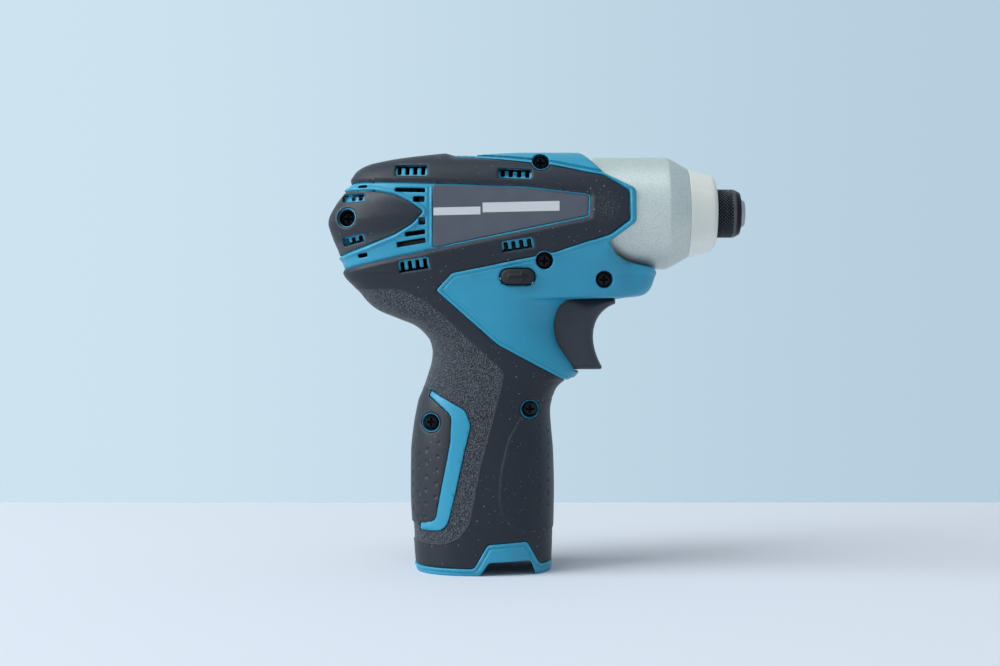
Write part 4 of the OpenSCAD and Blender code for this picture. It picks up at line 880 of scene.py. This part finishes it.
triggerPiece = formPiece("triggerFinger", triggerField(), triggerForm)
dress(triggerPiece, "trigger", "grey_plastic", "trigger", "trigger")


# direction lever: a bar through the housing, with a raised plain arrow on each end
leverForm = {
    "step": 0.25, "merge": 0.04,
    "block": ((5.6, -24.4, 93.6), (19.4, 24.4, 111.2)),
    "place": shell["lever"][:2], "half": 23.65,
    "bar": (12.4, 5.6, 2.79),  # length, height, corner
    "arrow": 0.3,  # how far it stands out
    "arrowHead": ((16.4, 107.7), (13.8, 109.3), (13.8, 106.1)),
    "arrowTail": ((11.6, 107.7), 5.0, 1.1),  # middle, length, height
    "tab": (1.5, 3, 94.6),  # half thickness, half width, foot
}


def leverFields():  # the bar, and where its arrow is
    x, y, z = blockOf(*leverForm["block"], leverForm["step"])
    middle, height = leverForm["place"]
    long, high, corner = leverForm["bar"]
    bar = slotDistance(x, z, leverForm["place"], long, high, 0, corner)
    tailPlace, tailLong, tailHigh = leverForm["arrowTail"]
    arrow = np.minimum(outlineDistance([np.array(p) for p in leverForm["arrowHead"]], x, z),
                       slotDistance(x, z, tailPlace, tailLong, tailHigh, 0, 0.2))
    crown = np.abs(y) - leverForm["half"] + leverForm["arrow"] * ease(arrow / 0.3) + 0.02 * (x - middle) ** 2
    tabThick, tabHalf, tabFoot = leverForm["tab"]
    tab = largest(np.abs(x - middle) - tabThick, np.abs(y) - tabHalf, tabFoot - z, z - height)
    return np.minimum(softMax(bar, crown, 1.1), tab), {"arrow": ease(0.5 - arrow / 0.3) + 0 * y}


barField, barMasks = leverFields()
leverPiece = formPiece("directionBar", barField, leverForm, masks=barMasks)
dress(leverPiece, "lever", "grey_plastic", "lever", "direction_lever")


# cross-head screws, one head set six times, each with its own shank
screwForm = {
    "step": 0.12, "merge": 0.03,
    "block": ((-3.0, -2.3, -3.0), (3.0, 0.4, 3.0)),
    "head": 2.7, "thick": shell["screwThick"], "reach": 8,
    "cross": (0.42, 1.65, 0.7),  # half width, half length, floor
    "thread": (1.22, 1.5), "pitch": 0.4, "around": 16,
}


def headField():
    x, y, z = blockOf(*screwForm["block"], screwForm["step"])
    flat = np.sqrt(x ** 2 + z ** 2)
    head = softMax(flat - screwForm["head"], -y - screwForm["thick"] + 0.05 * flat ** 2, 0.5)
    head = np.maximum(head, y)
    half, reach, floor = screwForm["cross"]
    cross = np.minimum(np.maximum(np.abs(x) - half, np.abs(z) - reach),
                       np.maximum(np.abs(z) - half, np.abs(x) - reach))
    taper = 0.35 * np.clip(y + screwForm["thick"], 0, 2)
    return np.maximum(head, -np.maximum(cross + taper, y + floor))


def screwShank(sx, sz, depth):  # threaded shank under one head
    start, end = -(depth - screwForm["thick"]) + 0.01, screwForm["reach"]
    turns = np.arange(start, end - 1.2, screwForm["pitch"])
    profile = [(start, 0.0)] + [(s, screwForm["thread"][k % 2]) for k, s in enumerate(turns)]
    profile += [(end - 0.6, 1.1), (end, 0.0)]
    around = screwForm["around"]
    points, faces = [], []
    for py, pr in profile:
        points += [((sx + pr * math.cos(a)) * mm, py * mm, (sz + pr * math.sin(a)) * mm)
                   for a in np.linspace(0, 2 * math.pi, around, endpoint=False)]
    for i in range(len(profile) - 1):
        for k in range(around):
            n = (k + 1) % around
            faces.append((i * around + k, (i + 1) * around + k, (i + 1) * around + n, i * around + n))
    mesh = bpy.data.meshes.new("screwShank")
    mesh.from_pydata(points, [], faces)
    mesh.shade_smooth()
    return placed("screwShank", mesh)


screwMesh = formPiece("screwHead", headField(), screwForm)
screwParts = []
for sx, sz, depth in shell["screws"]:
    copy = placed("screwCopy", screwMesh.data.copy())
    copy.data.transform(Matrix.Translation((sx * mm, -(depth - screwForm["thick"]) * mm, sz * mm)))
    screwParts.append(copy)
screwParts += [screwShank(*spot) for spot in shell["screws"]]
bpy.data.objects.remove(screwMesh)
bpy.ops.object.select_all(action="DESELECT")
for part in screwParts:
    part.select_set(True)
bpy.context.view_layer.objects.active = screwParts[0]
bpy.ops.object.join()
screwPiece = bpy.context.view_layer.objects.active
screwPiece.name = "crossScrews"
dress(screwPiece, "housing", "black_screw", "screw", "housing_screws")
print("screws set,", len(shell["screws"]))


# label plates, bare, with softened edges
plateForm = {
    "step": 0.2, "merge": 0.05,
    "block": ((-19.2, -22.0, 117.0), (39.2, -20.2, 142.0)),
    "outer": 21.4, "inner": 20.8,
    "outline": [(-18.1, 8.95, 1.2), (15, 7.7, 40), (38.15, 5.05, 1), (37.95, -2.15, 1), (-8.3, -11.75, 40),
                (-18.1, -13.85, 1.2)],
}


def plateField():
    x, y, z = blockOf(*plateForm["block"], plateForm["step"])
    outer, inner = plateForm["outer"], plateForm["inner"]
    sheet = np.abs(y + (outer + inner) / 2) - (outer - inner) / 2
    return softMax(outlineDistance(rounded(plateForm["outline"]), x, z - axisHeight), sheet, 0.3)


for side, mirrored in (("right", False), ("left", True)):
    platePiece = formPiece("labelPlate_" + side, plateField(), plateForm, mirrored)
    dress(platePiece, "housing", "label_plate", "label", "name_plate_" + side)


# springs, each a smooth copy of its solid set on its body
springs = {  # body, slot, finish, joint, fixed end in mm, share of the length left
    "hammer_spring": ("spindle", "steel", "steel", "hammer_slide", 39.6, 0.58),
    "sleeve_spring": ("anvil", "steel", "darkSteel", "sleeve_slide", 91.6, 0.31),
    "trigger_spring": ("housing", "steel", "steel", "trigger_slide", 12.6, 0.485),
}
for name, (body, slot, finishName, joint, fixedEnd, share) in springs.items():
    coil = placed(name + "_coil", nodes[name].data.copy())
    coil.data.shade_smooth()
    dress(coil, body, slot, finishName, name)
    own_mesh(coil)
print("springs made")


# the solids that stay as they are
kept = {
    "steel": ("anvil", "bit_ball", "sleeve_washer", "spring_washer", "cam_balls", "spindle", "planet_gear_a",
              "planet_gear_b", "planet_pins", "ring_gear", "spindle_bearing", "armature_shaft",
              "motor_front_bearing", "motor_rear_bearing"),
    "darkSteel": ("motor_yoke", "hammer", "sleeve_ring", "armature_core"),
    "bronze": ("anvil_bush",),
    "copper": ("armature_winding", "commutator", "battery_leads", "motor_leads"),
    "magnet": ("motor_magnets", "carbon_brushes"),
    "black": ("cooling_fan", "brush_holder", "switch_body", "terminal_block"),
    "grey": ("gear_plate",),
    "white": ("thrust_washer", "led_board"),
    "brass": ("battery_contacts",),
    "lens": ("led_lens",),
}
softened = {"nodes": ("anvil", "switch_body", "terminal_block", "battery_contacts"),
            "width": 0.25, "angle": 40}
for finishName, names in kept.items():
    for name in names:
        nodes[name].data.materials.clear()
        nodes[name].data.materials.append(materials[finishName])
for name in softened["nodes"]:
    soften = nodes[name].modifiers.new("soften", "BEVEL")
    soften.width = softened["width"] * mm
    soften.segments = 2
    soften.limit_method = "ANGLE"
    soften.angle_limit = math.radians(softened["angle"])
print("solids dressed")


# table, backdrop and light
studio = {
    # the backdrop's right colour is darker than its left, a painted shade
    "floor": colour(228, 238, 250), "left": colour(205, 227, 240), "right": colour(183, 206, 223),
    "sky": (0.95, 0.98, 1.0, 1.0), "skyLevel": 0.4,
    "tableReach": 3, "tableEnd": 0.228,
    "key": ((-2.5, -0.9, 1.6), 2.4, 82.0), "top": ((-0.5, -0.7, 2.2), 1.0, 10.0),  # place, size, power
    "aim": (0.01, 0, 0.09),
}


def paintTable(w):
    darker = tuple(0.985 * c for c in studio["floor"][:3]) + (1,)
    return {
        "Base Color": w.noise(6, 3).tint(darker, studio["floor"]),
        "Roughness": 0.8,
        "Specular IOR Level": 0.15,
    }


reach, end = studio["tableReach"], studio["tableEnd"]
tableMesh = bpy.data.meshes.new("tableTop")
tableCorners = [(-reach, -reach, 0), (reach, -reach, 0), (reach, end, 0), (-reach, end, 0)]
tableMesh.from_pydata(tableCorners, [], [(0, 1, 2, 3)])
tableMesh.materials.append(finish("tableTopPaint", paintTable))
placed("tableTop", tableMesh)

# the world lights softly, and shows the pale backdrop where it is looked at
world = bpy.data.worlds.new("softSky")
bpy.context.scene.world = world
world.use_nodes = True
world.node_tree.nodes.clear()
w = Wire(world.node_tree)
looks = [w.node("ShaderNodeLightPath", out=ray)
         for ray in ("Is Camera Ray", "Is Glossy Ray", "Is Transmission Ray")]
across = w.node("ShaderNodeSeparateXYZ", {}, {0: w.node("ShaderNodeTexCoord", out="Generated")})
light = w.node("ShaderNodeBackground", {}, {"Color": studio["sky"], "Strength": studio["skyLevel"]})
left, right = [w.node("ShaderNodeBackground", {}, {"Color": studio[side], "Strength": 1.0})
               for side in ("left", "right")]
# painted shade: the backdrop darkens from left to right, as if lit from the left
backdrop = w.node("ShaderNodeMixShader", {}, {0: across.limit(-0.3, 0.3), 1: left, 2: right})
shown = w.node("ShaderNodeMixShader", {}, {0: looks[0] + looks[1] + looks[2], 1: light, 2: backdrop})
w.node("ShaderNodeOutputWorld", {}, {0: shown})
for name in ("key", "top"):
    place, size, power = studio[name]
    lamp = bpy.data.lights.new(name + "Light", "AREA")
    lamp.size = size
    lamp.energy = power
    lampObject = placed(name + "Light", lamp)
    lampObject.location = place
    aim = np.array(studio["aim"]) - np.array(place)
    tilt = math.acos(-aim[2] / np.linalg.norm(aim))
    lampObject.rotation_euler = (tilt, 0, math.atan2(aim[1], aim[0]) - math.pi / 2)
print("stage set")
